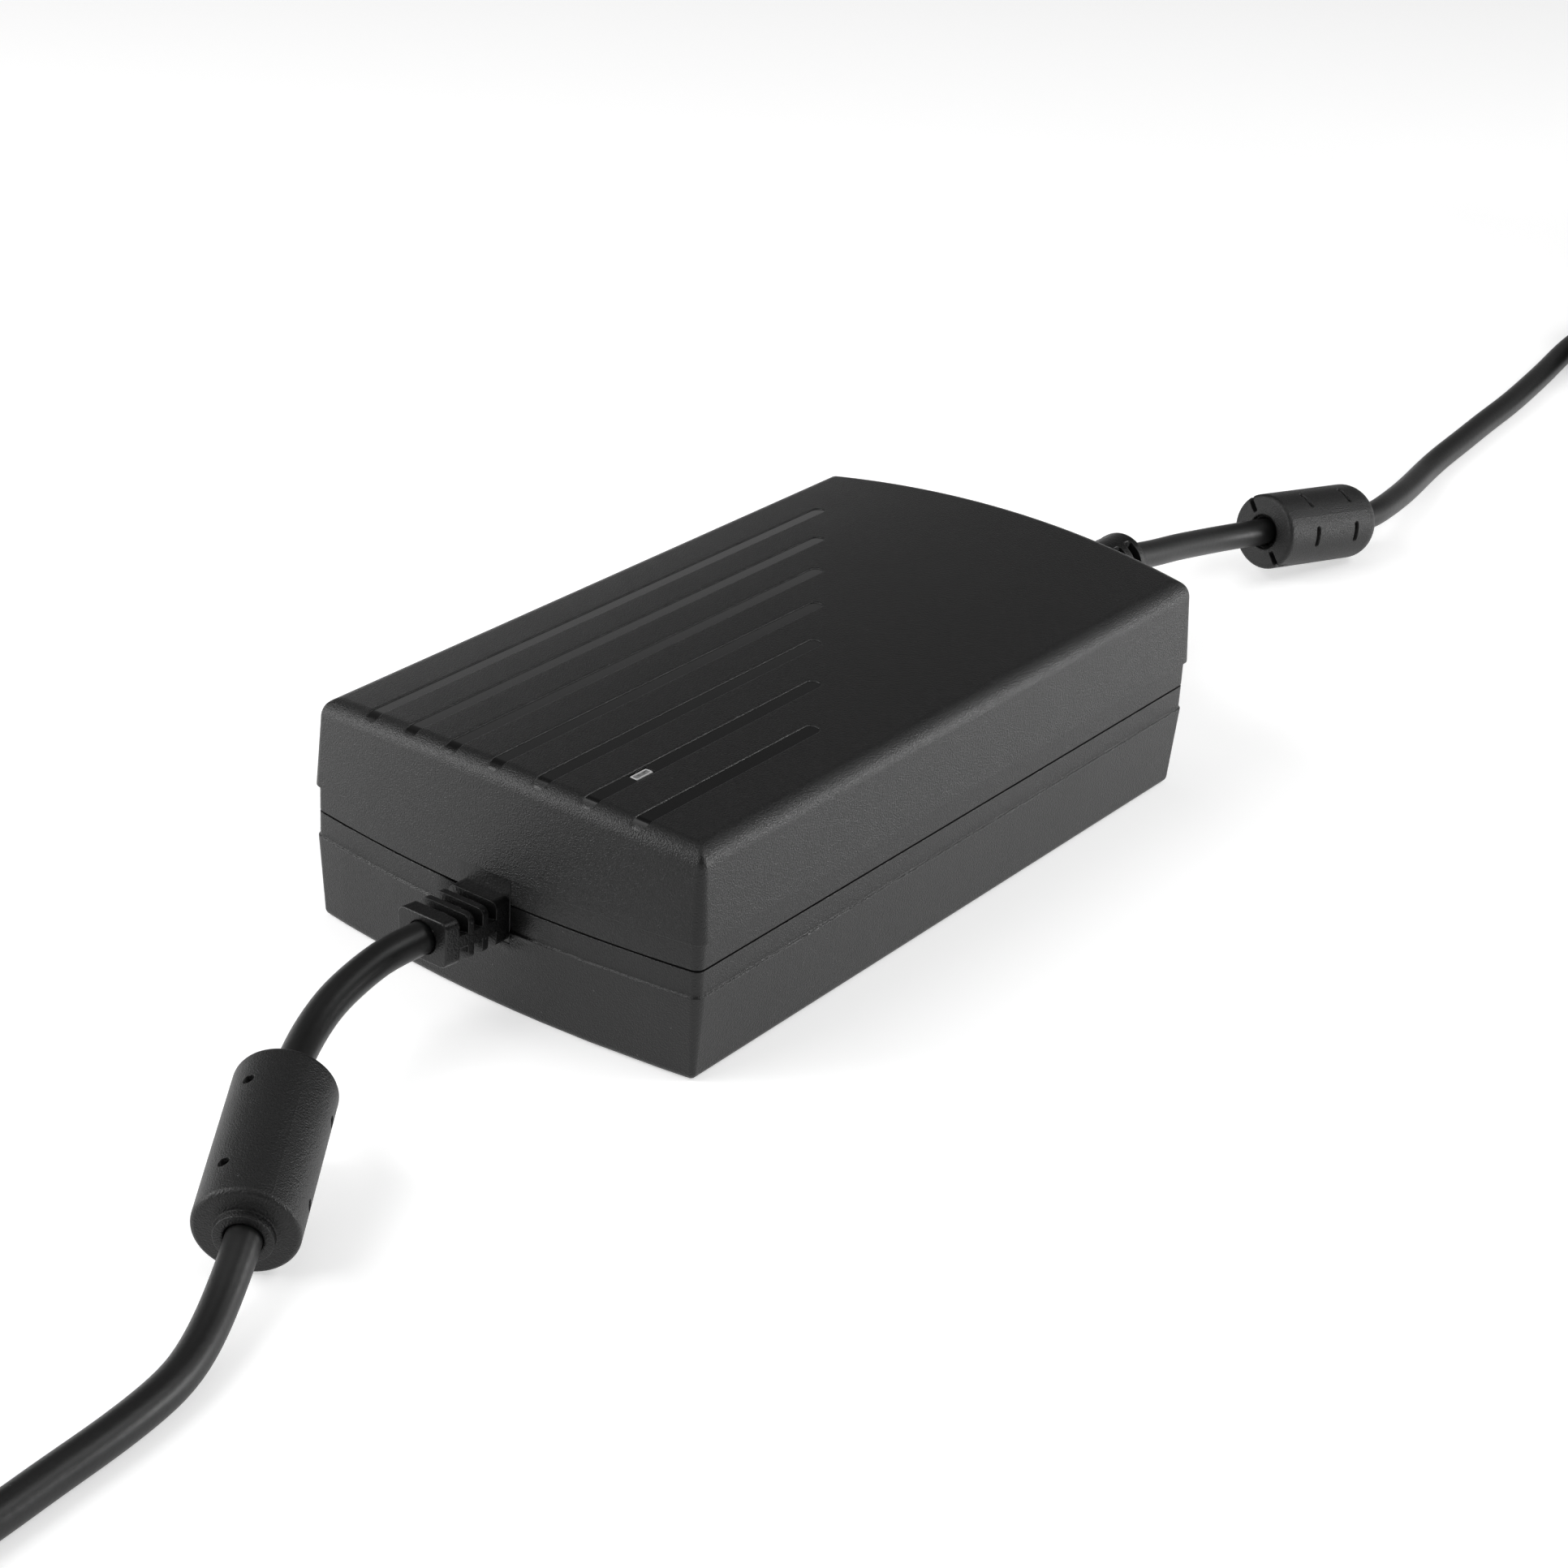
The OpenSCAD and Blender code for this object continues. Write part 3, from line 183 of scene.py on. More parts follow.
# name, place, width, height, power
for name, place, wide, high, power in (
        ("left_low_box", (-0.4, 0.5, 0.12), 0.34, 0.2, 0.9),
        ("left_far_box", (-1.08, 0.5, 0.2), 0.5, 0.34, 0.8),
        ("left_mid_box", (-0.83, 0.7, 0.4), 0.5, 0.36, 4.0),
        ("left_high_box", (-0.7, 0.45, 0.88), 0.9, 0.35, 6.0),
        ("right_low_box", (0.43, -0.55, 0.1), 0.3, 0.2, 2.3),
        ("right_far_box", (0.98, -0.61, 0.33), 0.6, 0.6, 0.8),
        ("right_high_box", (0.39, -0.67, 0.92), 0.8, 0.45, 4.4),
        ("overhead_box", (0, 0.15, 1.2), 0.8, 1.1, 2.6),
        ("back_box", (0.75, 1.29, 0.16), 0.9, 0.3, 0.4)):
    lamp = bpy.data.objects.new(name, bpy.data.lights.new(name, "AREA"))
    lamp.data.shape, lamp.data.energy = "RECTANGLE", power
    lamp.data.size, lamp.data.size_y = wide, high
    out = unit(np.array(place))
    side = unit(np.array([-out[1], out[0], 0])) if out[2] < OVERHEAD else np.array([1, 0, 0])
    stand = np.eye(4)
    stand[:3] = np.stack([side, np.cross(out, side), out, place], 1)
    lamp.matrix_world = Matrix(stand.tolist())
    bpy.context.scene.collection.objects.link(lamp)


# Lower cover: black plastic moulded with drafted walls, a recessed band under the seam and a tongue.
# Four pillars take the screws from below, and four posts carry the board.
def grid(points, wrap=False, ring=False, keep=None):
    """Quads over rows and columns of points; wrap joins the last column to the first, ring the rows,
    and keep leaves quads out."""
    rows, cols = points.shape[:2]
    i, j = np.meshgrid(np.arange(rows if ring else rows - 1), np.arange(cols if wrap else cols - 1),
                       indexing="ij")
    k, m = (i + 1) % rows, (j + 1) % cols
    quads = np.stack([i * cols + j, i * cols + m, k * cols + m, k * cols + j], -1)
    return points.reshape(-1, 3), quads.reshape(-1, 4) if keep is None else quads[keep]


def lip(*runs):
    """One flat face round the given runs of points."""
    points = np.vstack(runs)
    return points, np.arange(len(points))[None]


def ruled(edge, inner):
    """Rows that run straight from one closed line to another."""
    return grid(edge + np.linspace(0, 1, 5)[:, None, None] * (inner - edge), wrap=True)


# steps in a millimetre: points that fall on the same step are one
WELD = 1e4


def piece(name, patches, material, body, slot, *nodes, polish=None):
    """Welds patches of points and faces into one mesh with outward faces. Each normal is the sum of
    its faces' normals times their areas, so flat faces stay flat beside narrow rounded edges."""
    points = np.vstack([p[0] for p in patches])
    _, first, index = np.unique(np.round(points * WELD).astype(np.int64), axis=0,
                                return_index=True, return_inverse=True)
    index = index.reshape(-1)
    faces, start = [], 0
    for verts, corners in patches:
        corners = index[corners + start]
        same = corners == np.roll(corners, -1, axis=1)
        count = same.sum(1)
        faces += corners[count == 0].tolist()
        if corners.shape[1] == 4:
            faces += corners[count == 1][~same[count == 1]].reshape(-1, 3).tolist()
        start += len(verts)
    mesh = bpy.data.meshes.new(name)
    mesh.from_pydata((points[first] * MM).tolist(), [], faces)
    shape = bmesh.new()
    shape.from_mesh(mesh)
    bmesh.ops.recalc_face_normals(shape, faces=shape.faces)
    shape.to_mesh(mesh)
    shape.free()
    if polish is not None:
        shine = mesh.attributes.new("polish", "FLOAT", "POINT")
        shine.data.foreach_set("value", polish[first].astype(np.float32))
    count = len(mesh.polygons)
    normal, area, total = np.zeros(count * 3), np.zeros(count), np.zeros(count, np.int32)
    corner = np.zeros(len(mesh.loops), np.int32)
    mesh.polygons.foreach_get("normal", normal)
    mesh.polygons.foreach_get("area", area)
    mesh.polygons.foreach_get("loop_total", total)
    mesh.loops.foreach_get("vertex_index", corner)
    summed = np.zeros((len(mesh.vertices), 3))
    np.add.at(summed, corner, np.repeat(normal.reshape(-1, 3) * area[:, None], total, axis=0))
    summed /= np.maximum(np.linalg.norm(summed, axis=1, keepdims=True), 1e-12)
    mesh.polygons.foreach_set("use_smooth", np.ones(count, bool))
    mesh.normals_split_custom_set_from_vertices(summed.tolist())
    mesh.materials.append(material)
    made = bpy.data.objects.new(name, mesh)
    bpy.context.scene.collection.objects.link(made)
    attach(made, body)
    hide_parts(*nodes)
    return made


GRAIN_TURN = (0.5, 0.7, 0.3)


def black_plastic(name, shade, rough, grain_size, grain, specks, polished=False):
    """Moulded black plastic: a fine grain in the surface, faint cloudiness and a few pale specks that are
    painted glints.
    Where the mesh says it is polished, it is smoother and has no grain. The pattern is turned, so
    that its lattice isn't parallel to the walls."""
    made, tone = finish(name)
    place = tone.node("Mapping", {"Vector": tone.node("TexCoord", out="Object"), "Rotation": GRAIN_TURN})
    fine = tone.node("TexNoise", {"Vector": place, "Scale": 1 / (grain_size * MM), "Detail": 1.0,
                                  "Roughness": 0.7})
    cloud = tone.node("TexNoise", {"Vector": place, "Scale": 60.0, "Detail": 3.0})
    # Painted glints: close to a cell's middle the base colour gets 0.05 more, standing in for light caught by
    # the grain.
    glint_cells = tone.node("TexVoronoi", {"Vector": place, "Scale": 230.0})
    painted_glint = tone.math("LESS_THAN", glint_cells, specks)
    level = shade * (0.8 + cloud * 0.4) + painted_glint * 0.05
    colour = tone.node("CombineColor", {0: level, 1: level, 2: level})
    gloss = tone.node("Attribute", out="Fac", attribute_name="polish") if polished else 0.0
    fine = (fine - 0.5) * (1 - gloss)
    bump = tone.node("Bump", {"Strength": grain, "Distance": grain_size * MM * 0.5, "Height": fine})
    tone.node("OutputMaterial", {"Surface": tone.node("BsdfPrincipled", {
        "Base Color": colour, "Specular IOR Level": 0.38,
        "Roughness": rough + (cloud - 0.5) * 0.1 - gloss * 0.2,
        "Coat Weight": gloss * 0.6, "Coat Roughness": 0.12, "Normal": bump})})
    return made


def ray(angles):
    """Directions (cos a, sin a)."""
    return np.stack([np.cos(angles), np.sin(angles)], -1)


HALF_W, END_R, END_CX, CORNER_R, LEAST_R = 42.0, 250.226, -172.676, 2.4, 0.6
SIDE_X, END_Y, BEND_RUN = 66.0, 34.0, 8
RUN_STEPS, ARC_STEPS, REST_STEPS = 4, 10, 4
BEND_POINTS = RUN_STEPS + ARC_STEPS + REST_STEPS
QUARTER = SIDE_X + END_Y + BEND_RUN
MAINS_END, FAR_SIDE, OUTPUT_END, ROUND = QUARTER, 2 * QUARTER, 3 * QUARTER, 4 * QUARTER


def outline(inset, xs, ys):
    """Case outline moved in by each inset q: sides y = +-(42 - q), ends x = -172.7 + sqrt((250.2 - q)^2
    - y^2), corners of radius max(2.4 - q, 0.6). Points lie at xs on the sides and ys on the ends, so
    that rows match. Gives the points, their outward directions and a mark that runs round the loop."""
    q = np.atleast_1d(np.asarray(inset, float))[:, None]
    r = np.maximum(CORNER_R - q, LEAST_R)
    cy = HALF_W - q - r
    turn = np.arcsin(cy / (END_R - q - r))
    cx = END_CX + (END_R - q - r) * np.cos(turn)
    t = np.arange(1, RUN_STEPS + 1) / RUN_STEPS
    run = np.stack([SIDE_X + (cx - SIDE_X) * t, np.repeat(q - HALF_W, RUN_STEPS, 1)], -1)
    facing = ray(-np.pi / 2 + (np.pi / 2 - turn) * np.arange(1, ARC_STEPS + 1) / ARC_STEPS)
    arc = np.stack([cx, -cy], -1) + r[..., None] * facing
    low = -(END_R - q) * np.sin(turn)
    y = low + (-END_Y - low) * np.arange(1, REST_STEPS + 1) / (REST_STEPS + 1)
    rest, end = [np.stack([END_CX + np.sqrt((END_R - q) ** 2 - v ** 2), v], -1)
                 for v in (y, np.repeat(ys[None], len(q), 0))]
    near = np.stack([np.repeat(xs[None], len(q), 0), np.repeat(q - HALF_W, len(xs), 1)], -1)
    away = [(p - [END_CX, 0]) / (END_R - q)[..., None] for p in (rest, end)]
    down, flip_x, flip_y = [0, -1], [-1, 1], [1, -1]
    bend = np.concatenate([run, arc, rest], 1)
    bend_facing = np.concatenate([np.zeros_like(run) + down, facing, away[0]], 1)
    loop, loop_facing = [
        np.concatenate([n, b, e, b[:, ::-1] * flip_y, n[:, ::-1] * flip_y, -b, e[:, ::-1] * flip_x,
                        b[:, ::-1] * flip_x], 1)
        for n, b, e in ((near, bend, end), (np.zeros_like(near) + down, bend_facing, away[1]))]
    t = BEND_RUN * np.arange(1, BEND_POINTS + 1) / (BEND_POINTS + 1)
    mark = np.concatenate([xs, SIDE_X + t, MAINS_END + ys, MAINS_END + END_Y + t, FAR_SIDE - xs[::-1],
                           FAR_SIDE + SIDE_X + t, OUTPUT_END - ys[::-1], OUTPUT_END + END_Y + t])
    return loop, loop_facing, mark


def at(mark, value):
    """Column of the loop with this mark."""
    return int(np.argmin(abs(mark - value)))


def all_round(count):
    """Angles spaced evenly over a full turn."""
    return np.linspace(0, 2 * np.pi, count, endpoint=False)


def turned(profile, angles):
    """Surface of revolution about Z: (r cos a, r sin a, z) for each (r, z) of the profile."""
    p = np.asarray(profile, float)
    return np.stack([p[:, :1] * np.cos(angles), p[:, :1] * np.sin(angles),
                     np.broadcast_to(p[:, 1:], (len(p), len(angles)))], -1)


def stood(profile, x, y, turns=(all_round(32),) * 4):
    """A turned profile stood at each of (+-x, +-y)."""
    return [grid(turned(profile, turn) + [sx * x, sy * y, 0], wrap=True)
            for turn, (sx, sy) in zip(turns, CORNERS)]


def sector(ring, first, last, middle, steps):
    """Closed line along a ring from one column to another, in to the middle and back out."""
    run = ring[np.arange(first, last + 1 + (len(ring) if last < first else 0)) % len(ring)]
    f = np.arange(1, steps + 1)[:, None] / steps
    return np.vstack([run, run[-1] + (middle - run[-1]) * f, middle + (run[0] - middle) * f[:-1]])


RELIEF_HALF, RELIEF_LOW, RELIEF_TOP = 5.5, 13.4, 25.2
INLET_HALF, INLET_LOW, INLET_TOP = 11.2, 10.55, 28.95
FOOT_IN, FOOT_R, FLOOR_Z, SEAM_Z = 1.35, 1.5, 2.4, 20.5
PILLAR_X, PILLAR_Y, PILLAR_R, EASED = 63.0, 31.0, 4.0, 0.2
SCREW_HEAD_R, SCREW_R, SCREW_REST = 3.0, 1.7, 8
POST_R, POST_ROOT, POST_TOP, POST_IN_X, POST_IN_Y = 2.6, 1.6, 7.0, 26, 3.4
a = np.radians(np.linspace(90, 0, 9))
# inset and height, up the outside, over the tongue and down the inside
lower_rows = np.array(
    list(zip(FOOT_IN + FOOT_R * (1 - np.cos(a)), FOOT_R * (1 - np.sin(a))))
    + [(1.0, 6.23), (0.681, INLET_LOW), (0.47, RELIEF_LOW), (0.31, 15.6), (0.31, 15.68), (0.36, 15.77),
       (0.54, 15.94), (0.6, 16.02), (0.6, 16.2), (0.6, 20.2), (0.62, 20.28), (0.7, 20.35), (2.0, 20.35),
       (2.0, 22.4), (2.1, 22.5), (2.9, 22.5), (3.0, 22.4), (3.0, 16.0), (3.143, RELIEF_LOW),
       (3.3, INLET_LOW), (3.75, FLOOR_Z)])
xs = np.array([-SIDE_X, -40, -20, 0, 20, 40, SIDE_X])
ys = np.array([-END_Y, -21, -INLET_HALF, -RELIEF_HALF, 0, RELIEF_HALF, INLET_HALF, 21, END_Y])
flat, _, mark = outline(lower_rows[:, 0], xs, ys)
z = np.broadcast_to(lower_rows[:, 1, None, None], flat.shape[:2] + (1,))
shell = np.concatenate([flat, z], -1)
keep = np.ones((len(shell) - 1, len(mark)), bool)
lips = []
for value, half, z in ((OUTPUT_END, RELIEF_HALF, RELIEF_LOW), (MAINS_END, INLET_HALF, INLET_LOW)):
    outer, inner = np.flatnonzero(lower_rows[:, 1] == z)
    first, last = at(mark, value - half), at(mark, value + half)
    keep[outer:inner, first:last] = False
    lips += [lip(shell[outer, first:last + 1], shell[inner, first:last + 1][::-1])]
    lips += [lip(shell[outer:inner + 1, k]) for k in (first, last)]


def quarters(ring, mark, radius, angles=None):
    """A flat floor inside a ring, in four quarters, each drawn in to a circle round its pillar."""
    patches, kept = [], []
    cuts = [at(mark, v) for v in (OUTPUT_END, 0, MAINS_END, FAR_SIDE)]
    middle = np.array([0, 0, ring[0, 2]])
    for k, (sx, sy) in enumerate(CORNERS):
        edge = sector(ring, cuts[k], cuts[(k + 1) % 4], middle, 4)
        spoke = edge - [sx * PILLAR_X, sy * PILLAR_Y, 0]
        turn = np.arctan2(spoke[:, 1], spoke[:, 0]) if angles is None else angles[k]
        circle = middle + turned([(radius, 0)], turn)[0] + [sx * PILLAR_X, sy * PILLAR_Y, 0]
        patches.append(ruled(edge, circle))
        kept.append(turn)
    return patches, kept


underside, angles = quarters(shell[0], mark, SCREW_HEAD_R + EASED)
inside, _ = quarters(shell[-1], mark, PILLAR_R, angles)
pillars = stood([(SCREW_HEAD_R + EASED, 0), (SCREW_HEAD_R, EASED), (SCREW_HEAD_R, SCREW_REST),
                 (SCREW_R, SCREW_REST), (SCREW_R, SEAM_Z), (PILLAR_R - EASED, SEAM_Z),
                 (PILLAR_R, SEAM_Z - EASED), (PILLAR_R, FLOOR_Z)], PILLAR_X, PILLAR_Y, angles)
board_high = np.array(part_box("circuit_board")[1]) / MM
posts = stood([(0, POST_ROOT), (POST_R, POST_ROOT), (POST_R, POST_TOP - EASED),
               (POST_R - EASED, POST_TOP), (0, POST_TOP)],
              board_high[0] - POST_IN_X, board_high[1] - POST_IN_Y)
CASE_FINISH = dict(shade=0.006, rough=0.36, grain_size=0.26, grain=1.0, specks=0.035)
piece("lower_cover", [grid(shell, wrap=True, keep=keep)] + lips + underside + inside + pillars + posts,
      black_plastic("case_plastic", **CASE_FINISH), "case", "case_plastic", "lower_cover")


# Board and what stands on it: the solids as packed, each with the finish of its kind.
# They are soldered or screwed in place before the upper cover goes on.
def plain(name, colour, rough, metal, change=0.15, size=3.0):
    """A finish of one colour with a little cloudiness."""
    made, tone = finish(name)
    noise = tone.node("TexNoise", {"Vector": tone.node("TexCoord", out="Object"),
                                   "Scale": 1 / (size * MM), "Detail": 3.0})
    dark, light = [tuple(min(1, c * (1 + s * change)) for c in colour) + (1,) for s in (-1, 1)]
    mix = tone.node("Mix", {0: noise, 6: dark, 7: light}, out=2, data_type="RGBA")
    tone.node("OutputMaterial", {"Surface": tone.node("BsdfPrincipled", {
        "Base Color": mix, "Roughness": rough + (noise - 0.5) * 0.2, "Metallic": metal})})
    return made


# finish, colour, roughness, metal, and the solids that have it
for name, colour, rough, metal, solids in (
        ("board_green", (0.03, 0.16, 0.06), 0.45, 0, "circuit_board"),
        ("insulating_film", (0.75, 0.72, 0.62), 0.4, 0, "insulating_sheet"),
        ("zinc_steel", (0.62, 0.62, 0.6), 0.35, 1, "case_screws device_screws"),
        ("inlet_moulding", (0.016, 0.016, 0.016), 0.45, 0, "mains_inlet"),
        ("nickel", (0.72, 0.7, 0.66), 0.25, 1, "inlet_pins output_plug_barrel"),
        ("contact_brass", (0.78, 0.6, 0.3), 0.3, 1,
         "connector_contacts mains_plug_blades mains_plug_earth_pin"),
        ("component_black", (0.02, 0.02, 0.022), 0.5, 0,
         "switching_transistors output_rectifiers bridge_rectifier control_chip"),
        ("blue_coat", (0.05, 0.16, 0.4), 0.4, 0, "varistor safety_capacitor"),
        ("yellow_box", (0.7, 0.5, 0.06), 0.4, 0, "x_capacitor"),
        ("brown_body", (0.2, 0.08, 0.03), 0.45, 0, "fuse"),
        ("white_body", (0.82, 0.82, 0.8), 0.5, 0, "optocouplers"),
        ("printed_film", (0.02, 0.02, 0.03), 0.3, 0, "bulk_capacitor output_capacitors"),
        ("ferrite", (0.06, 0.06, 0.062), 0.6, 0,
         "boost_core transformer_core line_choke_core output_choke_core output_ferrite_core "
         "mains_ferrite_core"),
        ("enamelled_copper", (0.7, 0.28, 0.1), 0.3, 1, "line_choke_windings output_choke_winding"),
        ("winding_tape", (0.75, 0.6, 0.08), 0.4, 0, "boost_winding transformer_winding"),
        ("aluminium", (0.75, 0.75, 0.76), 0.4, 1, "primary_heatsink secondary_heatsink"),
        ("red_wire", (0.45, 0.02, 0.02), 0.4, 0, "output_wires"),
        ("green_led", (0.3, 0.7, 0.3), 0.2, 0, "status_led"),
        ("insulator_black", (0.014, 0.014, 0.014), 0.4, 0, "output_plug_insulator")):
    coat = plain(name, colour, rough, metal)
    for solid in solids.split():
        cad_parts[solid].data.materials.clear()
        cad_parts[solid].data.materials.append(coat)


# Upper cover: the same grained plastic, with a crowned top and seven polished grooves that run out
# over the rounded front edge. It drops over the lower cover's tongue, and the screws pull it down.
def zip_rings(a, mark_a, b, mark_b, gaps):
    """Triangles between two rings with the same marks round them, with gaps where a window is."""
    next_a, next_b = [np.append(m[1:], m[0] + ROUND) for m in (mark_a, mark_b)]
    i, j = np.arange(len(a)), np.arange(len(b))
    over = len(a) + np.searchsorted(next_b, next_a, side="left") % len(b)
    back = np.searchsorted(next_a, next_b, side="right") % len(a)
    faces = np.vstack([np.stack([i, (i + 1) % len(a), over], 1),
                       np.stack([len(a) + j, len(a) + (j + 1) % len(b), back], 1)])
    middle = np.concatenate([(mark_a + next_a) / 2, (mark_b + next_b) / 2])
    open_ = np.any([abs(middle - value) < half for value, half in gaps], axis=0)
    return np.vstack([a, b]), faces[~open_]


def ease(t):
    """Smooth step 3 t^2 - 2 t^3, level at 0 and at 1."""
    return t * t * (3 - 2 * t)


def step_in(distance, width):
    """Smooth step from 0 outside to 1 inside an edge, over a width round distance 0."""
    return ease(np.clip(0.5 - distance / width, 0, 1))


def in_order(digits, *runs):
    """All the places in the runs, each once, in rising order."""
    return np.unique(np.round(np.concatenate([np.ravel(run) for run in runs]), digits))


EDGE_H, CROWN, TOP_DRAW, TOP_R, TOP_WALL, BAND_TOP = 41.25, 2.65, 0.85, 3.4, 2.4, 25.4
GROOVES, GROOVE_W, GROOVE_PITCH, GROOVE_DEEP, GROOVE_EDGE = 7, 2.8, 9.48, 0.2, 0.14
GROOVE_OUT, GROOVE_TAPER, FADE_FROM, FADE_SHARE, GROOVE_LIP, LIP_SHARE = 3.1, 1.2, 0.6, 0.9, 0.2, 0.15
DULL_FROM, DULL_OVER, DULL_SHARE = 1.4, 0.8, 0.65
groove_y = GROOVE_PITCH * (3 - np.arange(GROOVES))
groove_tip = 52.6 - 13.25 * np.arange(GROOVES)


def rise(y):
    """Crown of the top: 2.65 (1 - (y / 41.15)^2)."""
    return CROWN * np.maximum(0, 1 - (y / (HALF_W - TOP_DRAW)) ** 2)


def grooved(x, y, over):
    """Depth and polish of the grooves at (x, y), where over is the arc run past the front edge. The
    depth is that of a floor inside a groove's edge and of a soft shoulder outside it."""
    half = GROOVE_W / 2
    v = y[..., None] - groove_y
    tip = np.hypot(np.maximum(x[..., None] - groove_tip + half, 0), v) - half
    past = np.maximum(over[..., None] - GROOVE_OUT + GROOVE_TAPER, 0)
    edge = np.maximum(tip, np.hypot(past * half / GROOVE_TAPER, v) - half).min(-1)
    fade = 1 - FADE_SHARE * ease(np.clip((over - FADE_FROM) / (GROOVE_OUT - FADE_FROM), 0, 1))
    shoulder = np.clip(1 - edge / GROOVE_LIP, 0, 1) ** 2
    inside = step_in(edge + GROOVE_EDGE / 2, GROOVE_EDGE)
    deep = GROOVE_DEEP * fade * (LIP_SHARE * shoulder + (1 - LIP_SHARE) * inside)
    dull = DULL_SHARE * np.clip((over - DULL_FROM) / DULL_OVER, 0, 1)
    return deep, (edge < -GROOVE_EDGE) * (1 - dull)


LENS_X, LENS_Y, LENS_L, LENS_W, LENS_GAP = -61.2, -18.96, 4.25, 1.7, 0.15
BESIDE_LENS, BESIDE_WINDOW = 0.05, 0.06
lens_x = [LENS_X - LENS_L / 2 - LENS_GAP, LENS_X + LENS_L / 2 + LENS_GAP]
lens_y = [LENS_Y - LENS_W / 2 - LENS_GAP, LENS_Y + LENS_W / 2 + LENS_GAP]


def line_to(tip):
    """Places along the top, close together near a groove's tip and at the lens's hole."""
    return np.concatenate([[-SIDE_X, lens_x[0] - BESIDE_LENS], lens_x,
                           np.linspace(lens_x[1] + BESIDE_LENS, tip - 1.5, 10),
                           np.linspace(tip - 1.5, tip + 0.15, 26)[1:],
                           np.linspace(tip + 0.15, SIDE_X, 14)[1:]])


edges = GROOVE_W / 2 + np.array([-0.15, -0.11, -0.07, -0.03, 0.03, 0.1, 0.2])
across = np.concatenate([-edges[::-1], np.linspace(-1.1, 1.1, 13), edges])
windows = np.array([INLET_HALF, RELIEF_HALF, INLET_HALF + BESIDE_WINDOW, RELIEF_HALF + BESIDE_WINDOW])
ys = in_order(4, np.linspace(-END_Y, END_Y, 33), groove_y[:, None] + across, lens_y,
              [lens_y[0] - BESIDE_LENS, lens_y[1] + BESIDE_LENS], windows, -windows)
xs = line_to(groove_tip[3])
near = np.clip((GROOVE_PITCH / 2 - abs(ys[:, None] - groove_y)) / 3, 0, 1)
top_x = xs[:, None] + (np.array([line_to(t) for t in groove_tip]) - xs).T @ near.T
a = np.radians(np.linspace(0, 90, 31))
wall = np.array([0.05, 0.15, 0.2367, 0.5, 0.75])
# inset, height, share of the crown, and the lean of the surface
rows = np.vstack([
    [(0.7, 20.65, 0, 0), (0.62, 20.7, 0, 0), (0.6, 20.78, 0, 0), (0.6, 24.92, 0, 0), (0.58, 25.04, 0, 0),
     (0.52, 25.13, 0, 0), (0.4, RELIEF_TOP, 0, 0), (0.08, 25.36, 0, 0), (0.025, 25.41, 0, 0),
     (0.012, 25.5, 0, 0)],
    np.stack([TOP_DRAW * wall, BAND_TOP + (EDGE_H - TOP_R - BAND_TOP) * wall, wall, 0 * wall], 1),
    np.stack([TOP_DRAW + TOP_R * (1 - np.cos(a)), EDGE_H - TOP_R * (1 - np.sin(a)), 1 + 0 * a, a], 1)])
flat, facing, mark = outline(rows[:, 0], xs, ys)
lean = rows[:, 3, None]
z = rows[:, 1, None] + rows[:, 2, None] * rise(flat[..., 1])
FAR_PAST = 99
on_edge = (flat[..., 0] < -SIDE_X) & (lean > 0)
over = np.where(on_edge, TOP_R * (np.pi / 2 - lean), FAR_PAST)
front_end = abs(mark - OUTPUT_END) <= END_Y
deep, polish = [v * front_end for v in grooved(np.full_like(z, -SIDE_X), flat[..., 1], over)]
shell = np.concatenate([flat - (deep * np.cos(lean))[..., None] * facing,
                        (z - deep * np.sin(lean))[..., None]], -1)

CEILING = EDGE_H - TOP_WALL
# inset, height, and share of the crown, from the rebate over the tongue to the ceiling
inner_rows = np.array([(1.8, 20.65, 0), (1.8, 22.7, 0), (3.0, 22.7, 0), (3.033, RELIEF_TOP, 0),
                       (3.084, INLET_TOP, 0), (3.25, CEILING, 1)])
inner_xs = np.array([-SIDE_X, lens_x[0] - BESIDE_LENS] + lens_x + [-30, 0, 30, SIDE_X])
inner_ys = in_order(4, [-END_Y, -24, -INLET_HALF, -RELIEF_HALF, 0, RELIEF_HALF, INLET_HALF, 24, END_Y],
                    lens_y)
inner_flat, _, inner_mark = outline(inner_rows[:, 0], inner_xs, inner_ys)
inner_z = inner_rows[:, 1, None] + inner_rows[:, 2, None] * rise(inner_flat[..., 1])
inner = np.concatenate([inner_flat, inner_z[..., None]], -1)
keep, inner_keep = [np.ones((len(s) - 1, s.shape[1]), bool) for s in (shell, inner)]
lips = []
# each window's place and half width, and the outer and inner rows along its top
for value, half, row, inner_row in ((OUTPUT_END, RELIEF_HALF, 6, 3), (MAINS_END, INLET_HALF, 12, 4)):
    span, inner_span = [[at(m, value - half), at(m, value + half)] for m in (mark, inner_mark)]
    keep[:row, span[0]:span[1]] = False
    inner_keep[:inner_row, inner_span[0]:inner_span[1]] = False
    lips += [lip(shell[:row + 1, m], inner[:inner_row + 1, n][::-1]) for m, n in zip(span, inner_span)]
    lips += [lip(shell[row, span[0]:span[1] + 1],
                 inner[inner_row, inner_span[0]:inner_span[1] + 1][::-1])]
rim = zip_rings(shell[0], mark, inner[0], inner_mark, ((OUTPUT_END, RELIEF_HALF), (MAINS_END, INLET_HALF)))


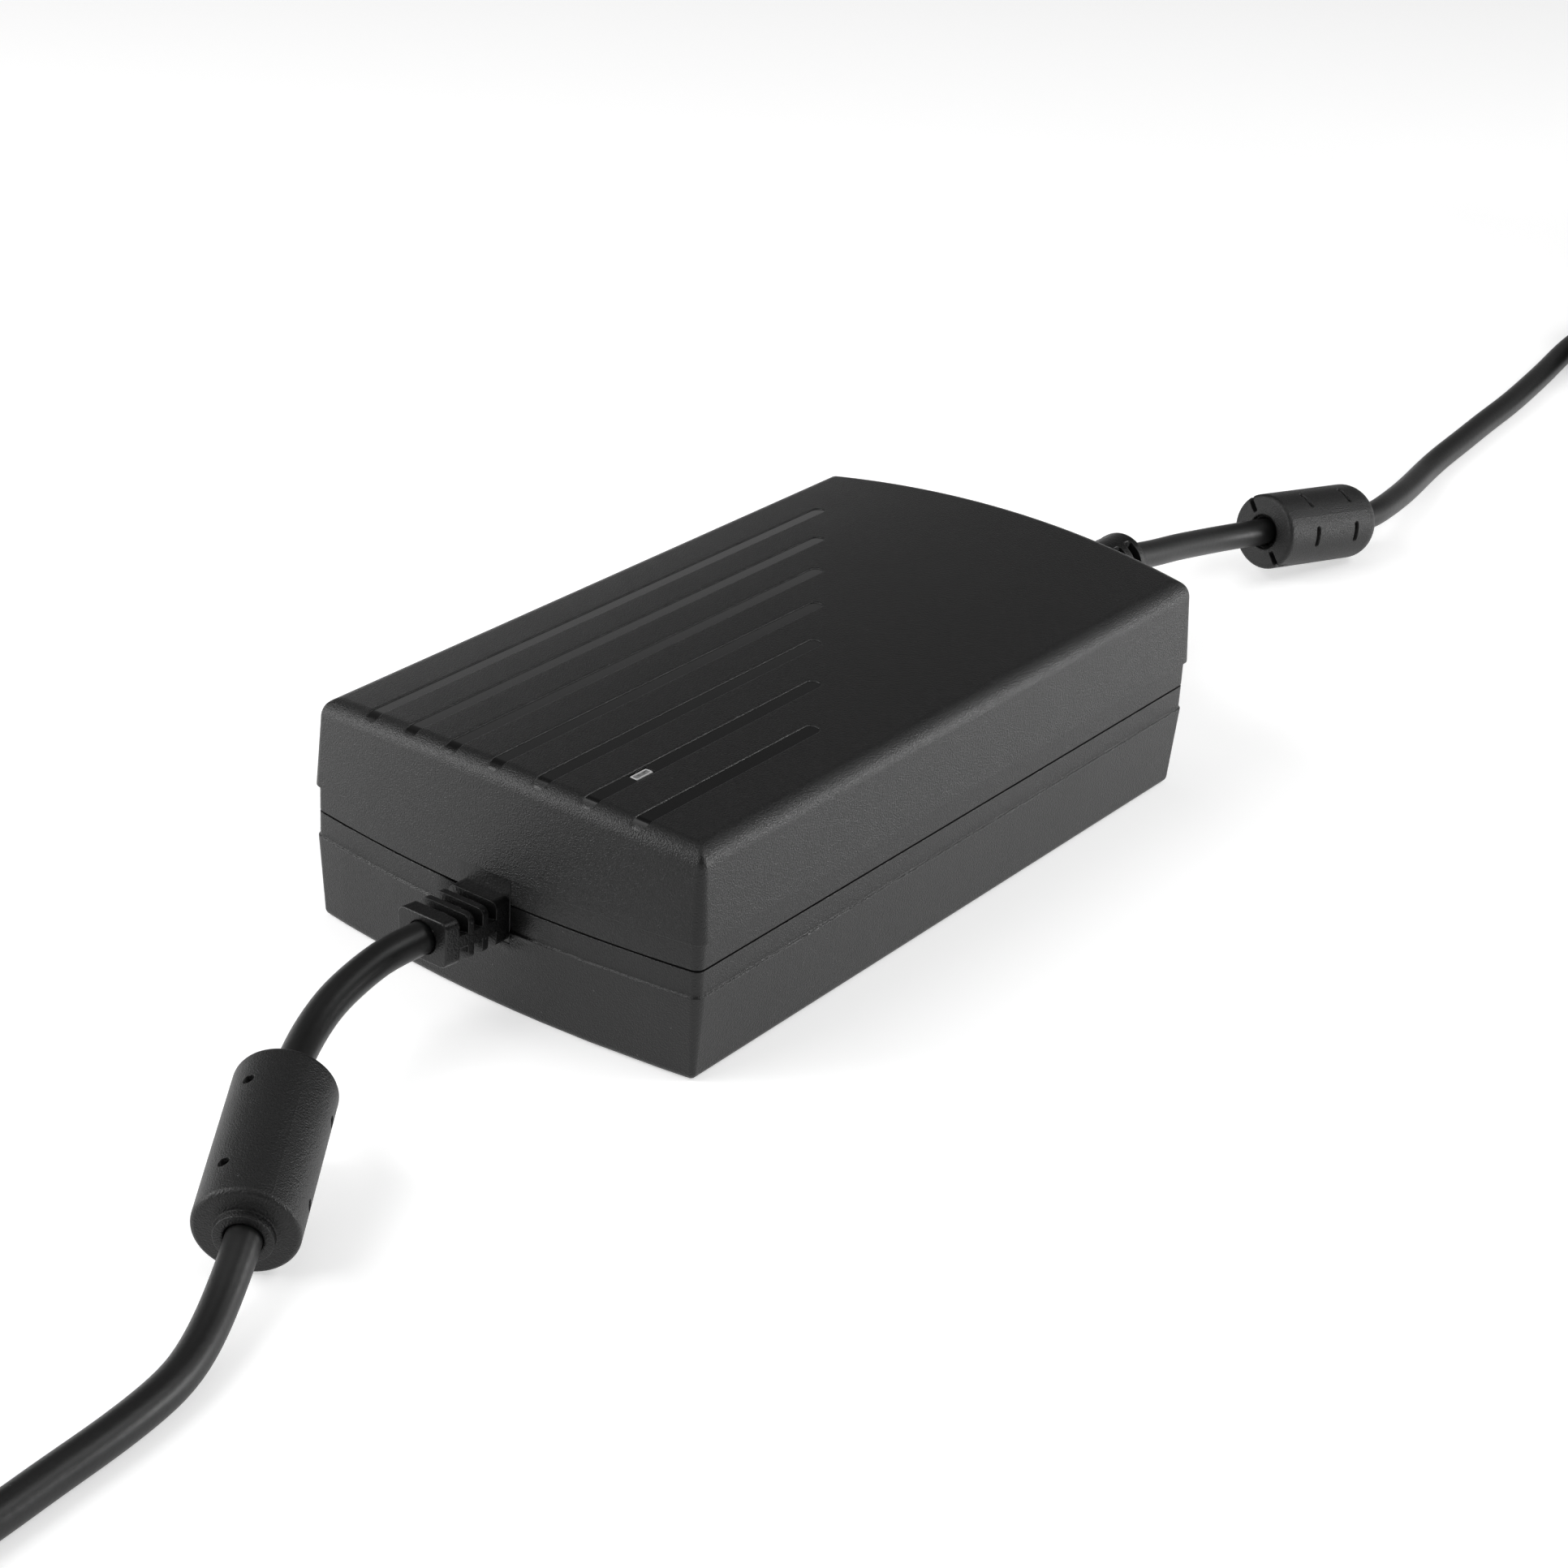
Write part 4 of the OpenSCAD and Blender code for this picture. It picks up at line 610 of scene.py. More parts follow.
def lid(ring, x, ys, steps, height):
    """A top inside a ring: a grid at x and ys, strips from it to the ring and a fan in each corner.
    The lens's hole is left out: it lies between the third and fourth x."""
    n, m = x.shape
    hole = np.ones((n - 1, m - 1), bool)
    hole[2, np.searchsorted(ys, lens_y[0] - 1e-6):np.searchsorted(ys, lens_y[1] - 1e-6)] = False
    t = np.linspace(0, 1, steps + 1)[:, None, None]
    parts, first = [(np.stack([x, np.broadcast_to(ys, x.shape)], -1), hole)], 0
    for start in (np.stack([x[:, 0], 0 * x[:, 0] - END_Y], 1), np.stack([0 * ys + SIDE_X, ys], 1),
                  np.stack([x[::-1, -1], 0 * x[:, 0] + END_Y], 1), np.stack([0 * ys - SIDE_X, ys[::-1]], 1)):
        last = first + len(start)
        parts.append((start + t * (ring[first:last, :2] - start), None))
        k = np.arange(last - 1, last + BEND_POINTS + 1) % len(ring)
        corner = np.repeat(start[-1:], len(k), 0)
        parts.append((corner + t * (ring[k, :2] - corner), None))
        first = last + BEND_POINTS
    made = []
    for flat, hole in parts:
        z, polish = height(flat[..., 0], flat[..., 1])
        made.append((grid(np.concatenate([flat, z[..., None]], -1), keep=hole), polish.ravel()))
    return made


def top(x, y):
    """Height and polish of the outside: the crown less the grooves."""
    deep, polish = grooved(x, y, np.zeros_like(x))
    return EDGE_H + rise(y) - deep, polish


def ceiling(x, y):
    """Height of the inside, which isn't polished."""
    return CEILING + rise(y), 0 * x


outside = lid(flat[-1], top_x, ys, 6, top)
under = lid(inner[-1], np.repeat(inner_xs[:, None], len(inner_ys), 1), inner_ys, 1, ceiling)
hole = []
for line, fixed, runs in [(0, v, (xs, inner_xs)) for v in lens_y] + [(1, v, (ys, inner_ys)) for v in lens_x]:
    ends = lens_x if line == 0 else lens_y
    sides = []
    for run, height in zip(runs, (top, ceiling)):
        run = run[(run >= ends[0] - 1e-6) & (run <= ends[1] + 1e-6)]
        place = (run, 0 * run + fixed) if line == 0 else (0 * run + fixed, run)
        sides.append(np.stack([*place, height(*place)[0]], 1))
    hole.append(lip(sides[0], sides[1][::-1]))
INTO_TOP, PILOT_R, PILOT_TOP = 1.2, 1.55, 33
STOP_R, STOP_LOW, STOP_Y, STOP_IN = 2.2, 8.8, 24, 3
roof, stop_roof = [EDGE_H + rise(y) - INTO_TOP for y in (PILLAR_Y, STOP_Y)]
pillars = stood([(0, PILOT_TOP), (PILOT_R, PILOT_TOP), (PILOT_R, SEAM_Z), (PILLAR_R - EASED, SEAM_Z),
                 (PILLAR_R, SEAM_Z + EASED), (PILLAR_R, roof), (0, roof)], PILLAR_X, PILLAR_Y)
stops = stood([(0, STOP_LOW), (STOP_R, STOP_LOW), (STOP_R, stop_roof), (0, stop_roof)],
              board_high[0] - STOP_IN, STOP_Y)
patches = [grid(shell, wrap=True, keep=keep)] + [p[0] for p in outside]
rest = [grid(inner, wrap=True, keep=inner_keep), rim] + lips + [p[0] for p in under] + hole + pillars + stops
shine = np.concatenate([polish.ravel()] + [p[1] for p in outside] + [np.zeros(len(p[0])) for p in rest])
piece("upper_cover", patches + rest, black_plastic("grooved_case_plastic", polished=True, **CASE_FINISH),
      "case", "case_plastic", "upper_cover", polish=shine)


# Indicator lens: a clear moulded light pipe over the LED, let into the second groove from the near side.
# Its flange bears on the underside of the top, and its lit end has bevelled edges round a sunk middle, with a
# painted highlight along the bevels.
def rounded(width, height, radius, arc, across, down):
    """Rounded rectangles, one for each row, clockwise from the top right corner: the inner corner points
    and the outward directions, so that point = inner + radius direction."""
    w, h, r = [np.asarray(v, float) for v in np.broadcast_arrays(*np.atleast_1d(width, height, radius))]
    inner, out = [], []
    signs = ((1, 1), (1, -1), (-1, -1), (-1, 1))
    corners = [np.stack([sx * (w / 2 - r), sy * (h / 2 - r)], -1)[:, None] for sx, sy in signs]
    for k in range(4):
        facing = ray(np.radians(90 - 90 * k - 90 * np.arange(arc + 1) / arc))
        count = down if k % 2 == 0 else across
        f = np.arange(1, count)[None, :, None] / count
        inner += [np.repeat(corners[k], arc + 1, 1), corners[k] + f * (corners[(k + 1) % 4] - corners[k])]
        out += [facing, np.repeat(facing[-1:], count - 1, 0)]
    return np.concatenate(inner, 1), np.vstack(out), r[:, None, None]


def fan(ring, tip):
    """Triangles from a closed ring of points to one tip."""
    n = len(ring)
    i = np.arange(n)
    return np.vstack([ring, [tip]]), np.stack([i, (i + 1) % n, np.full(n, n)], 1)


def capped(rows, first, last):
    """Closed rows of points, with a fan to a tip over each end."""
    return [grid(rows, wrap=True), fan(rows[0], first), fan(rows[-1], last)]


def stack_x(places, flat, middle):
    """Rows of flat (y, z) sections set at places along X round a middle."""
    x = np.broadcast_to(np.asarray(places, float)[:, None], flat.shape[:2])
    return np.stack([x, flat[..., 0] + middle[0], flat[..., 1] + middle[1]], -1)


def block(middle, rows, width, height, radius, arc=4, upright=False):
    """Rounded block: rows of (place, inset) along X, or along Z if upright, round one rounded rectangle."""
    rows = np.asarray(rows, float)
    inner, out, r = rounded(width, height, radius, arc, 2, 2)
    points = stack_x(rows[:, 0], inner + (r - rows[:, 1, None, None]) * out, middle)
    tips = np.array([[rows[k, 0], *middle] for k in (0, -1)])
    if upright:
        points, tips = points[..., [1, 2, 0]], tips[..., [1, 2, 0]]
    return capped(points, *tips)


# LENS_BEVEL and LENS_FADE: width and soft edge of the painted highlight round the lit end's bevels
LENS_BEVEL, LENS_FADE, LENS_R = 0.4, 0.1, 0.3
BOARD_TOP, LED_H, LED_GAP = 8.6, 5.3, 0.2
FLANGE_OVER, FLANGE_R, FLANGE_DROP = 2.6, 0.5, 1.4
lens_clear, tone = finish("clear_plastic")
place = tone.node("TexCoord", out="Object")
haze = tone.node("TexNoise", {"Vector": place, "Scale": 1500.0})
# Painted highlight: the base colour rises to 0.6 over the bevels round the lit end, where light would catch
# them; the middle keeps its haze.
away = [tone.math("ABSOLUTE", tone.node("SeparateXYZ", {0: place}, out=k) - middle * MM)
        - (size / 2 - LENS_BEVEL) * MM for k, middle, size in ((0, LENS_X, LENS_L), (1, LENS_Y, LENS_W))]
bevel_highlight = tone.node("MapRange", {0: tone.math("MAXIMUM", *away), 1: 0, 2: LENS_FADE * MM, 3: 0, 4: 1})
level = bevel_highlight * 0.6 + (1 - bevel_highlight) * haze * 0.35 + 0.06
tone.node("OutputMaterial", {"Surface": tone.node("BsdfPrincipled", {
    "Base Color": tone.node("CombineColor", {0: level, 1: level, 2: level}),
    "Roughness": 0.1 + haze * 0.2, "IOR": 1.5, "Transmission Weight": 0.2})})
top_z = EDGE_H + rise(LENS_Y)
lit, foot, flange = top_z - GROOVE_DEEP, BOARD_TOP + LED_H + LED_GAP, top_z - TOP_WALL - FLANGE_DROP
piece("indicator_lens",
      block((LENS_X, LENS_Y), [(foot, 0.1), (foot + 0.1, 0), (lit - 0.16, 0), (lit - 0.02, 0.14),
                               (lit - 0.02, 0.3), (lit - 0.2, 0.42)],
            LENS_L, LENS_W, LENS_R, arc=3, upright=True)
      + block((LENS_X, LENS_Y), [(flange, 0.1), (flange + 0.1, 0), (flange + 1, 0)],
              LENS_L + FLANGE_OVER, LENS_W + FLANGE_OVER, FLANGE_R, upright=True),
      lens_clear, "case", "clear_plastic", "indicator_lens")

# Output relief: soft plastic moulded on the lead, with slots from above and below that let it bend.
# Its plate is clamped in a window across the seam, by a flange behind the wall.
RELIEF_X, RELIEF_Z, RELIEF_L, RELIEF_SET = -76.95, 17.9, 13.9, 1.2
RELIEF_W, RELIEF_H, RELIEF_R, RELIEF_EDGE = 10.4, 8.2, 1.3, 0.25
SLOT_W, SLOT_WEB, SLOT_CORE = 1.7, 1.35, 2.9
PLATE_Y, PLATE_Z, PLATE_W, PLATE_H, PLATE_R = 0.14, 19.3, 11.0, 11.74, 0.3
BACK_X, BACK_T, BACK_W, BACK_H, BACK_R = -73.55, 2.0, 13.8, 14.6, 1.0
MOUTH = [(3.1, 0), (2.9, 0.1), (2.82, 0.5)]
slot_mids = np.array([3.1, 6.2, 9.3])[:, None] + SLOT_W / 2
near = np.linspace(-0.1, 0.1, 5)
q = in_order(3, np.linspace(-1, RELIEF_L - RELIEF_EDGE, 26), slot_mids - SLOT_W / 2 + near,
             slot_mids + SLOT_W / 2 + near, slot_mids + np.linspace(-0.6, 0.6, 5))
turn = np.linspace(0, np.pi / 2, 6)[1:]
shrink = np.concatenate([0 * q, RELIEF_EDGE * (1 - np.cos(turn))])[:, None, None]
q = np.concatenate([q, RELIEF_L - RELIEF_EDGE + RELIEF_EDGE * np.sin(turn)])
inner, out, r = rounded(RELIEF_W, RELIEF_H, RELIEF_R, 10, 38, 28)
edge = (inner + r * out)[0]
ahead = np.linalg.norm(np.roll(edge, -1, 0) - edge, axis=1)
run = np.concatenate([[0], np.cumsum(ahead)[:-1]])
top_middle = run[np.argmin(abs(edge[:, 0]) - 9 * (edge[:, 1] > 0))]
# way round the section from the middle of the top, and from the nearer of top and bottom
whole = ahead.sum()
above = abs((run - top_middle + whole / 2) % whole - whole / 2)
along = np.minimum(above, whole / 2 - above)
on_side = edge[:, 0] > RELIEF_W / 2 - 0.01
reach = np.interp(-SLOT_WEB, -edge[on_side, 1], above[on_side])
shape = inner + (r - shrink) * out
cut = np.max([step_in(np.maximum(along - reach, abs(q[:, None] - m) - SLOT_W / 2), 0.12)
              for m in slot_mids], axis=0)
shape *= (1 - cut * (1 - SLOT_CORE / np.hypot(shape[..., 0], shape[..., 1])))[..., None]
shape[..., 0] += RELIEF_SET * (np.clip(q, 0, RELIEF_L)[:, None] / RELIEF_L) ** 2
body = stack_x(RELIEF_X - q, shape, (0, RELIEF_Z))
tip = np.array([RELIEF_X - RELIEF_L, RELIEF_SET, RELIEF_Z])
spoke = unit(body[-1] - tip)
mouth = np.stack([body[-1]] + [tip + radius * spoke + [deep, 0, 0] for radius, deep in MOUTH])
plate = block((PLATE_Y, PLATE_Z), [(RELIEF_X + 0.04, 0.12), (RELIEF_X + 0.07, 0.04), (RELIEF_X + 0.15, 0),
                                   (BACK_X - 1, 0), (BACK_X + EASED, 0.05)], PLATE_W, PLATE_H, PLATE_R)
flange = block((0, PLATE_Z), [(BACK_X, EASED), (BACK_X + EASED, 0), (BACK_X + BACK_T - EASED, 0),
                              (BACK_X + BACK_T, EASED)], BACK_W, BACK_H, BACK_R)
relief_soft = black_plastic("relief_soft_plastic", shade=0.004, rough=0.34, grain_size=0.4, grain=0.4,
                            specks=0.04)
piece("output_strain_relief",
      [grid(body, wrap=True), fan(body[0], [RELIEF_X + 1, 0, RELIEF_Z]), grid(mouth, wrap=True),
       fan(mouth[-1], tip + [MOUTH[-1][1], 0, 0])] + plate + flange,
      relief_soft, "case", "soft_plastic", "output_relief")

# Output lead: two cores in a round black jacket, extruded smooth, with a soft gloss.
# It leaves the relief, passes its sleeve, runs along the floor and is put away as a tied coil.
LEAD_D, LEAD_SIDES, LINE_STEP = 5.6, 28, 2.0
COIL_PITCH, COIL_MIDDLE = 6.2, 30.8


def smooth_line(points, step):
    """Natural cubic spline through the points over their running chord length, sampled every step."""
    p = np.asarray(points, float)
    s = np.concatenate([[0], np.cumsum(np.linalg.norm(np.diff(p, axis=0), axis=1))])
    h, slope = np.diff(s), np.diff(p, axis=0) / np.diff(s)[:, None]
    k = np.arange(1, len(p) - 1)
    system = np.eye(len(p))
    system[k, k - 1], system[k, k], system[k, k + 1] = h[:-1], 2 * (h[:-1] + h[1:]), h[1:]
    bend = np.zeros_like(p)
    bend[1:-1] = 6 * np.diff(slope, axis=0)
    bend = np.linalg.solve(system, bend)
    t = np.linspace(0, s[-1], int(s[-1] / step) + 1)
    k = np.clip(np.searchsorted(s, t, side="right") - 1, 0, len(p) - 2)
    a, c, w = (s[k + 1] - t)[:, None], (t - s[k])[:, None], h[k][:, None]
    return ((bend[k] * a ** 3 + bend[k + 1] * c ** 3) / (6 * w)
            + (p[k] / w - bend[k] * w / 6) * a + (p[k + 1] / w - bend[k + 1] * w / 6) * c)


def coil(meets, turns, heading):
    """Tied coil: angle 90 heading - t, radius outer - pitch (half - |t - half|) / 360, with a climb
    of one pitch at the middle, so that half the turns lie on the floor and half on those."""
    outer, half = COIL_MIDDLE + COIL_PITCH * turns / 4, 180 * turns
    t = np.linspace(0, 2 * half, 24 * turns + 1)
    a, r = np.radians(90 * heading - t), outer - COIL_PITCH * (half - abs(t - half)) / 360
    climb = COIL_PITCH * ease(np.clip((t - half + 90) / 180, 0, 1))
    turn = np.stack([meets[0] + heading * LEAD_D + r * np.cos(a),
                     meets[1] - heading * outer + r * np.sin(a), meets[2] + climb], 1)
    return np.vstack([turn, [[meets[0] + 2 * heading * LEAD_D, meets[1], meets[2] + COIL_PITCH]]])


def lead_line(route, turns, heading, tail):
    """Middle line of a lead: its route, its coil and its tail, kept on the floor or above it."""
    line = smooth_line(np.vstack([route, coil(route[-1], turns, heading), tail]), LINE_STEP)
    line[:, 2] = np.maximum(line[:, 2], LEAD_D / 2)
    return line


def tube(line, radius, sides):
    """Circle carried along a line: centre + radius (cos a side + sin a up), closed at both ends."""
    ahead = unit(np.gradient(line, axis=0))
    side = unit(np.cross([0, 0, 1], ahead))
    up = np.cross(ahead, side)
    turn = ray(all_round(sides))
    rings = line[:, None] + radius * (turn[:, :1] * side[:, None] + turn[:, 1:] * up[:, None])
    return capped(rings, line[0], line[-1])


jacket = black_plastic("jacket_pvc", shade=0.005, rough=0.42, grain_size=1.2, grain=0.06, specks=0.02)
output_route = [
    (-89.8, 1.15, 17.9), (-90.85, 1.2, 17.9), (-98, 1.8, 17.6), (-105.6, 1.2, 17), (-112.3, 0, 16.2),
    (-121.2, -3.1, 14.9), (-129.5, -7.6, 14.1), (-145, -17.8, 10.72), (-160.5, -28, 7.34),
    (-167.1, -31.5, 5.1), (-174.2, -35.1, 3.65), (-182.3, -38.3, 2.9), (-190, -39.9, 2.8),
    (-198.3, -40.8, 2.8), (-208.1, -41.4, 2.8), (-220.4, -42.2, 2.8), (-230, -42.4, 3), (-239, -42.5, 3.4),
    (-247, -42.5, 3.8)]
output_tail = [(-270.2, -42.5, 9.2), (-281.2, -42.5, 7.4), (-292.2, -42.5, 5.9), (-303.2, -42.5, 5.5)]
output_line = lead_line(output_route, 5, -1, output_tail)
output_lead = piece("output_lead_jacket", tube(output_line, LEAD_D / 2, LEAD_SIDES), jacket, "case", "jacket",
                    "output_lead", "output_coil", "output_tail")


# Output ferrite sleeve: a plastic skin moulded round a tubular core, with pin holes left by the mould.
# It is pushed on the lead, and a collar at its lower end grips the jacket.
def in_frame(points, start, end):
    """Points about Z moved on the stretch from start to end, with X towards the floor side."""
    start, end = np.array(start, float), np.array(end, float)
    ahead = unit(end - start)
    polar, way = np.arccos(ahead[2]), np.arctan2(ahead[1], ahead[0])
    x = np.array([np.cos(polar) * np.cos(way), np.cos(polar) * np.sin(way), -np.sin(polar)])
    y = np.array([-np.sin(way), np.cos(way), 0])
    return (start + end) / 2 + points[..., :1] * x + points[..., 1:2] * y + points[..., 2:] * ahead


def marked(profile, angles, dent):
    """Closed profile (r, z) turned about Z, pushed in along its normal by dent(r, z, angle)."""
    p = np.asarray(profile, float)
    ahead = unit(np.roll(p, -1, 0) - np.roll(p, 1, 0))
    deep = dent(p[:, :1], p[:, 1:], angles[None])
    r, z = p[:, :1] - deep * ahead[:, 1:], p[:, 1:] + deep * ahead[:, :1]
    return np.stack([r * np.cos(angles), r * np.sin(angles), z], -1)


def round_edge(r, z, size, first, last, steps):
    """Points of an arc of this size round (r, z)."""
    return [tuple(p) for p in [r, z] + size * ray(np.radians(np.linspace(first, last, steps)))]


def turn_from(angle, middle):
    """Angle past a middle in degrees, within half a turn."""
    return (angle - np.radians(middle) + np.pi) % (2 * np.pi) - np.pi


def columns(places, half, count):
    """Angles all round, closer together near the places."""
    close = np.radians(places)[:, None] + np.linspace(-half, half, count)
    return in_order(5, all_round(72), close % (2 * np.pi))


SLEEVE_R, SLEEVE_EDGE, SLEEVE_WALL, BORE_R, CORE_R = 8.15, 1.0, 2.4, 3.05, 7.05
MOULD_LINE_W = 0.12
LINE_ANGLES = np.linspace(-0.03, 0.03, 7)
flat = SLEEVE_R - SLEEVE_EDGE


def mould_line(angle, place):
    """Fine ridge of bell-shaped section along the side."""
    return np.exp(-(turn_from(angle, place) * SLEEVE_R / MOULD_LINE_W) ** 2)


def pocket(half):
    """Corners of the space for the core, from the upper end of the bore to its lower end."""
    end = half - SLEEVE_WALL
    return [(BORE_R, end), (CORE_R, end), (CORE_R, -end), (BORE_R, -end)]


HOLES, HOLE_AT, HOLE_W, HOLE_L, HOLE_MEAN, HOLE_DEEP = (90, 210, 330), 8.8, 1.8, 1.5, 0.8, 1.1
OUTPUT_SEAM, OUTPUT_RIDGE, SOFT_EDGE = 150, 0.035, 0.16
half = 15.45
side = in_order(3, np.linspace(-half + 1.2, half - 1.2, 17),
                *[s * HOLE_AT + np.linspace(-1, 1, 21) for s in (-1, 1)])
collar = [(5.8, 0.03), (4.9, 0.05), (4.68, 0.1), (4.58, 0.25), (4.55, 1.2), (4.5, 1.32), (4.38, 1.4),
          (3.4, 1.42), (3.1, 1.3), (2.9, 1.1), (2.82, 0.6)]
profile = ([(BORE_R, -half + 0.2), (BORE_R + 0.2, -half), (flat - 0.1, -half)]
           + round_edge(flat, -half + 1, SLEEVE_EDGE, -90, 0, 7) + [(SLEEVE_R, z) for z in side]
           + round_edge(flat, half - 1, SLEEVE_EDGE, 0, 84, 7) + [(r, half + up) for r, up in collar]
           + pocket(half))


def pin_holes(r, z, angle):
    """Oval holes 1.8 by 1.5 mm, and a raised mould line along the side."""
    deep = 0 * (z + angle)
    on_side = (r > SLEEVE_R - 0.01)
    for place in HOLES:
        for s in (-1, 1):
            round_it, along = SLEEVE_R * turn_from(angle, place), z - s * HOLE_AT
            far = np.hypot(round_it / (HOLE_W / 2), along / (HOLE_L / 2)) - 1
            deep = np.maximum(deep, HOLE_DEEP * step_in(far * HOLE_MEAN, SOFT_EDGE))
    return (deep - OUTPUT_RIDGE * mould_line(angle, OUTPUT_SEAM)) * on_side


angles = np.unique(np.concatenate([columns(HOLES, 0.13, 25), np.radians(OUTPUT_SEAM) + LINE_ANGLES]))
sleeve_plastic = black_plastic("sleeve_plastic", shade=0.006, rough=0.46, grain_size=0.3, grain=0.9,
                               specks=0.03)
skin = in_frame(marked(profile, angles, pin_holes), output_route[6], output_route[8])
piece("output_ferrite_sleeve", [grid(skin, wrap=True, ring=True)],
      sleeve_plastic, "case", "sleeve_plastic", "output_ferrite_sleeve")


# Output tie: a soft black strap, wrapped round the bundle of the put-away lead.
# Its end is pressed on to the strap itself, without a buckle.
STRAP_R, STRAP_Z, BUNDLE_H = 2.3, 6.9, 12.4


def strap(centre, width, height):
    """Band 12 mm wide and 0.7 mm thick round a rounded rectangle."""
    ring = np.array([(-6, 0.1), (-5.9, 0), (5.9, 0), (6, 0.1), (6, 0.6), (5.9, 0.7), (-5.9, 0.7), (-6, 0.6)])
    inner, out, r = rounded(width, height, STRAP_R, 8, 6, 4)
    flat = inner + (r + ring[:, 1, None, None]) * out
    y = np.broadcast_to(ring[:, :1], flat.shape[:2])
    return [grid(np.stack([flat[..., 0], y, flat[..., 1]], -1) + centre, wrap=True, ring=True)]


strap_finish = black_plastic("tie_soft_plastic", shade=0.006, rough=0.5, grain_size=0.5, grain=0.2,
                             specks=0.03)
piece("output_tie_strap", strap((-283.4, -3.95, STRAP_Z), 23.5, BUNDLE_H), strap_finish, "case",
      "soft_plastic", "output_tie")

# Output plug grip: soft plastic moulded over the barrel's root, ribbed where the lead enters.
# A waist with shallow flutes gives the fingers a hold.
PLUG_AT = np.array([-302.2, -42.5, 5.5])
RIB_ROOT, RIB_W, RIB_EDGE, WAIST_AT, FLUTES, FLUTE_SHARE = 3.4, 2, 0.15, 26.5, 18, 0.045
ribs = [(r, z) for high, low in ((3.8, 2), (4.1, 6), (4.4, 10))
        for r, z in ((RIB_ROOT, low), (high - RIB_EDGE, low), (high, low + RIB_EDGE),
                     (high, low + RIB_W - RIB_EDGE), (high - RIB_EDGE, low + RIB_W), (RIB_ROOT, low + RIB_W))]
profile = np.array(
    [(0, 0.4), (2.75, 0.4), (3.1, 0), (RIB_ROOT, 0.2)] + ribs + [(RIB_ROOT, 14), (4.5, 14)]
    + round_edge(4.7, 14.8, 0.8, -80, 0, 6)
    + [(5.5, 17), (5.48, 19), (5.3, 20.5), (5.05, 22), (5, 23), (5, WAIST_AT), (5, 30), (5.05, 31),
       (5.3, 32.5), (5.48, 34), (5.5, 35.5)]
    + round_edge(4.7, 37.2, 0.8, 0, 90, 6) + [(3.4, 38), (2.7, 37.9), (2.7, 30), (0, 30)])
flute = all_round(144)
waist = np.exp(-((profile[:, 1:] - WAIST_AT) / 3.6) ** 4) * (profile[:, :1] > 4.9)
grip = turned(profile, flute)
grip[..., :2] *= 1 - FLUTE_SHARE * (waist * (0.5 + 0.5 * np.cos(FLUTES * flute)))[..., None]
grip = grip[..., [2, 1, 0]] * [-1, 1, 1] + PLUG_AT
piece("output_plug_grip", [grid(grip, wrap=True)], relief_soft, "case", "plug_plastic", "output_plug_grip")

(output_line * MM).tolist()

# Mains connector: soft plastic over three contacts; its clover nose pushes into the inlet.
# A squared collar tapers to a round boot, slotted from both sides so that it bends with the lead.
LOBES, LOBE_R, WAIST = np.array([(4.4, -2.2), (0, 2.9), (-4.4, -2.2)]), 3.9, 3.1
NOSE_X, NOSE_L, NOSE_Z, WELL_R, WELL_L = 62.45, 16.3, 19.75, 1.9, 13.8
turn = all_round(180)
core = np.array([0, -0.4])
steps = np.linspace(0, 9, 901)
y, z = np.moveaxis(core + steps[:, None, None] * ray(turn), -1, 0)
inside = (np.hypot(y[..., None] - LOBES[:, 0], z[..., None] - LOBES[:, 1]) < LOBE_R).any(-1)
side_y, side_z, upper_z = *LOBES[0], LOBES[1, 1]
inside |= (abs(y) < side_y) & (abs(z - side_z) < WAIST)
inside |= (abs(y) < WAIST) & (abs(z - (upper_z + side_z) / 2) < (upper_z - side_z) / 2)
reach = (steps[:, None] * inside).max(0)
# place along the nose and inset, from its eased front edge
nose_rows = np.array([(0, 0.45), (0.1, 0.15), (0.4, 0), (NOSE_L, 0)])
nose_flat = core + (reach[None, :, None] - nose_rows[:, 1, None, None]) * ray(turn)
nose = stack_x(NOSE_X + nose_rows[:, 0], nose_flat, (0, NOSE_Z))
middle = np.array([NOSE_X, core[0], NOSE_Z + core[1]])
patches = [grid(nose, wrap=True), fan(nose[-1], middle + [NOSE_L, 0, 0])]
cuts = np.searchsorted(np.degrees(turn), (270, 30, 150))
for k, lobe in enumerate(LOBES):
    edge = sector(nose[0], cuts[k], cuts[(k + 1) % 3], middle, 6)
    centre = np.array([NOSE_X, lobe[0], NOSE_Z + lobe[1]])
    circle = centre + WELL_R * unit(edge - centre)
    well = circle + np.array([0, 7, WELL_L])[:, None, None] * [1, 0, 0]
    patches += [ruled(edge, circle), grid(well, wrap=True), fan(well[-1], centre + [WELL_L, 0, 0])]

COLLAR_X, BOOT_X, BOOT_R, BOOT_CORE, BOOT_TIP, BOOT_EDGE = 77.75, 105.65, 5.9, 4.0, 119.65, 0.5
TAPER_X, SLOT_ARC = COLLAR_X + 11.4, BOOT_R * np.radians(66)
t = np.linspace(0, 1, 15)
# width, height and corner radius of the collar and of the boot that it tapers to
full, drawn = np.array([20.5, 17, 4]), np.array([2 * BOOT_R, 2 * BOOT_R, BOOT_R])
sizes = np.vstack([full - [1.4, 1.4, 0.7], full - [0.5, 0.5, 0.25], full, full,
                   full + (drawn - full) * ease(t)[:, None], drawn])
x = np.concatenate([COLLAR_X + np.array([0, 0.2, 0.7, 5.4]), TAPER_X + (BOOT_X - TAPER_X) * t, [BOOT_X + 1]])
inner, out, r = rounded(*sizes.T, 16, 4, 4)
patches += capped(stack_x(x, inner + r * out, (0, NOSE_Z)), [x[0], 0, NOSE_Z], [x[-1], 0, NOSE_Z])

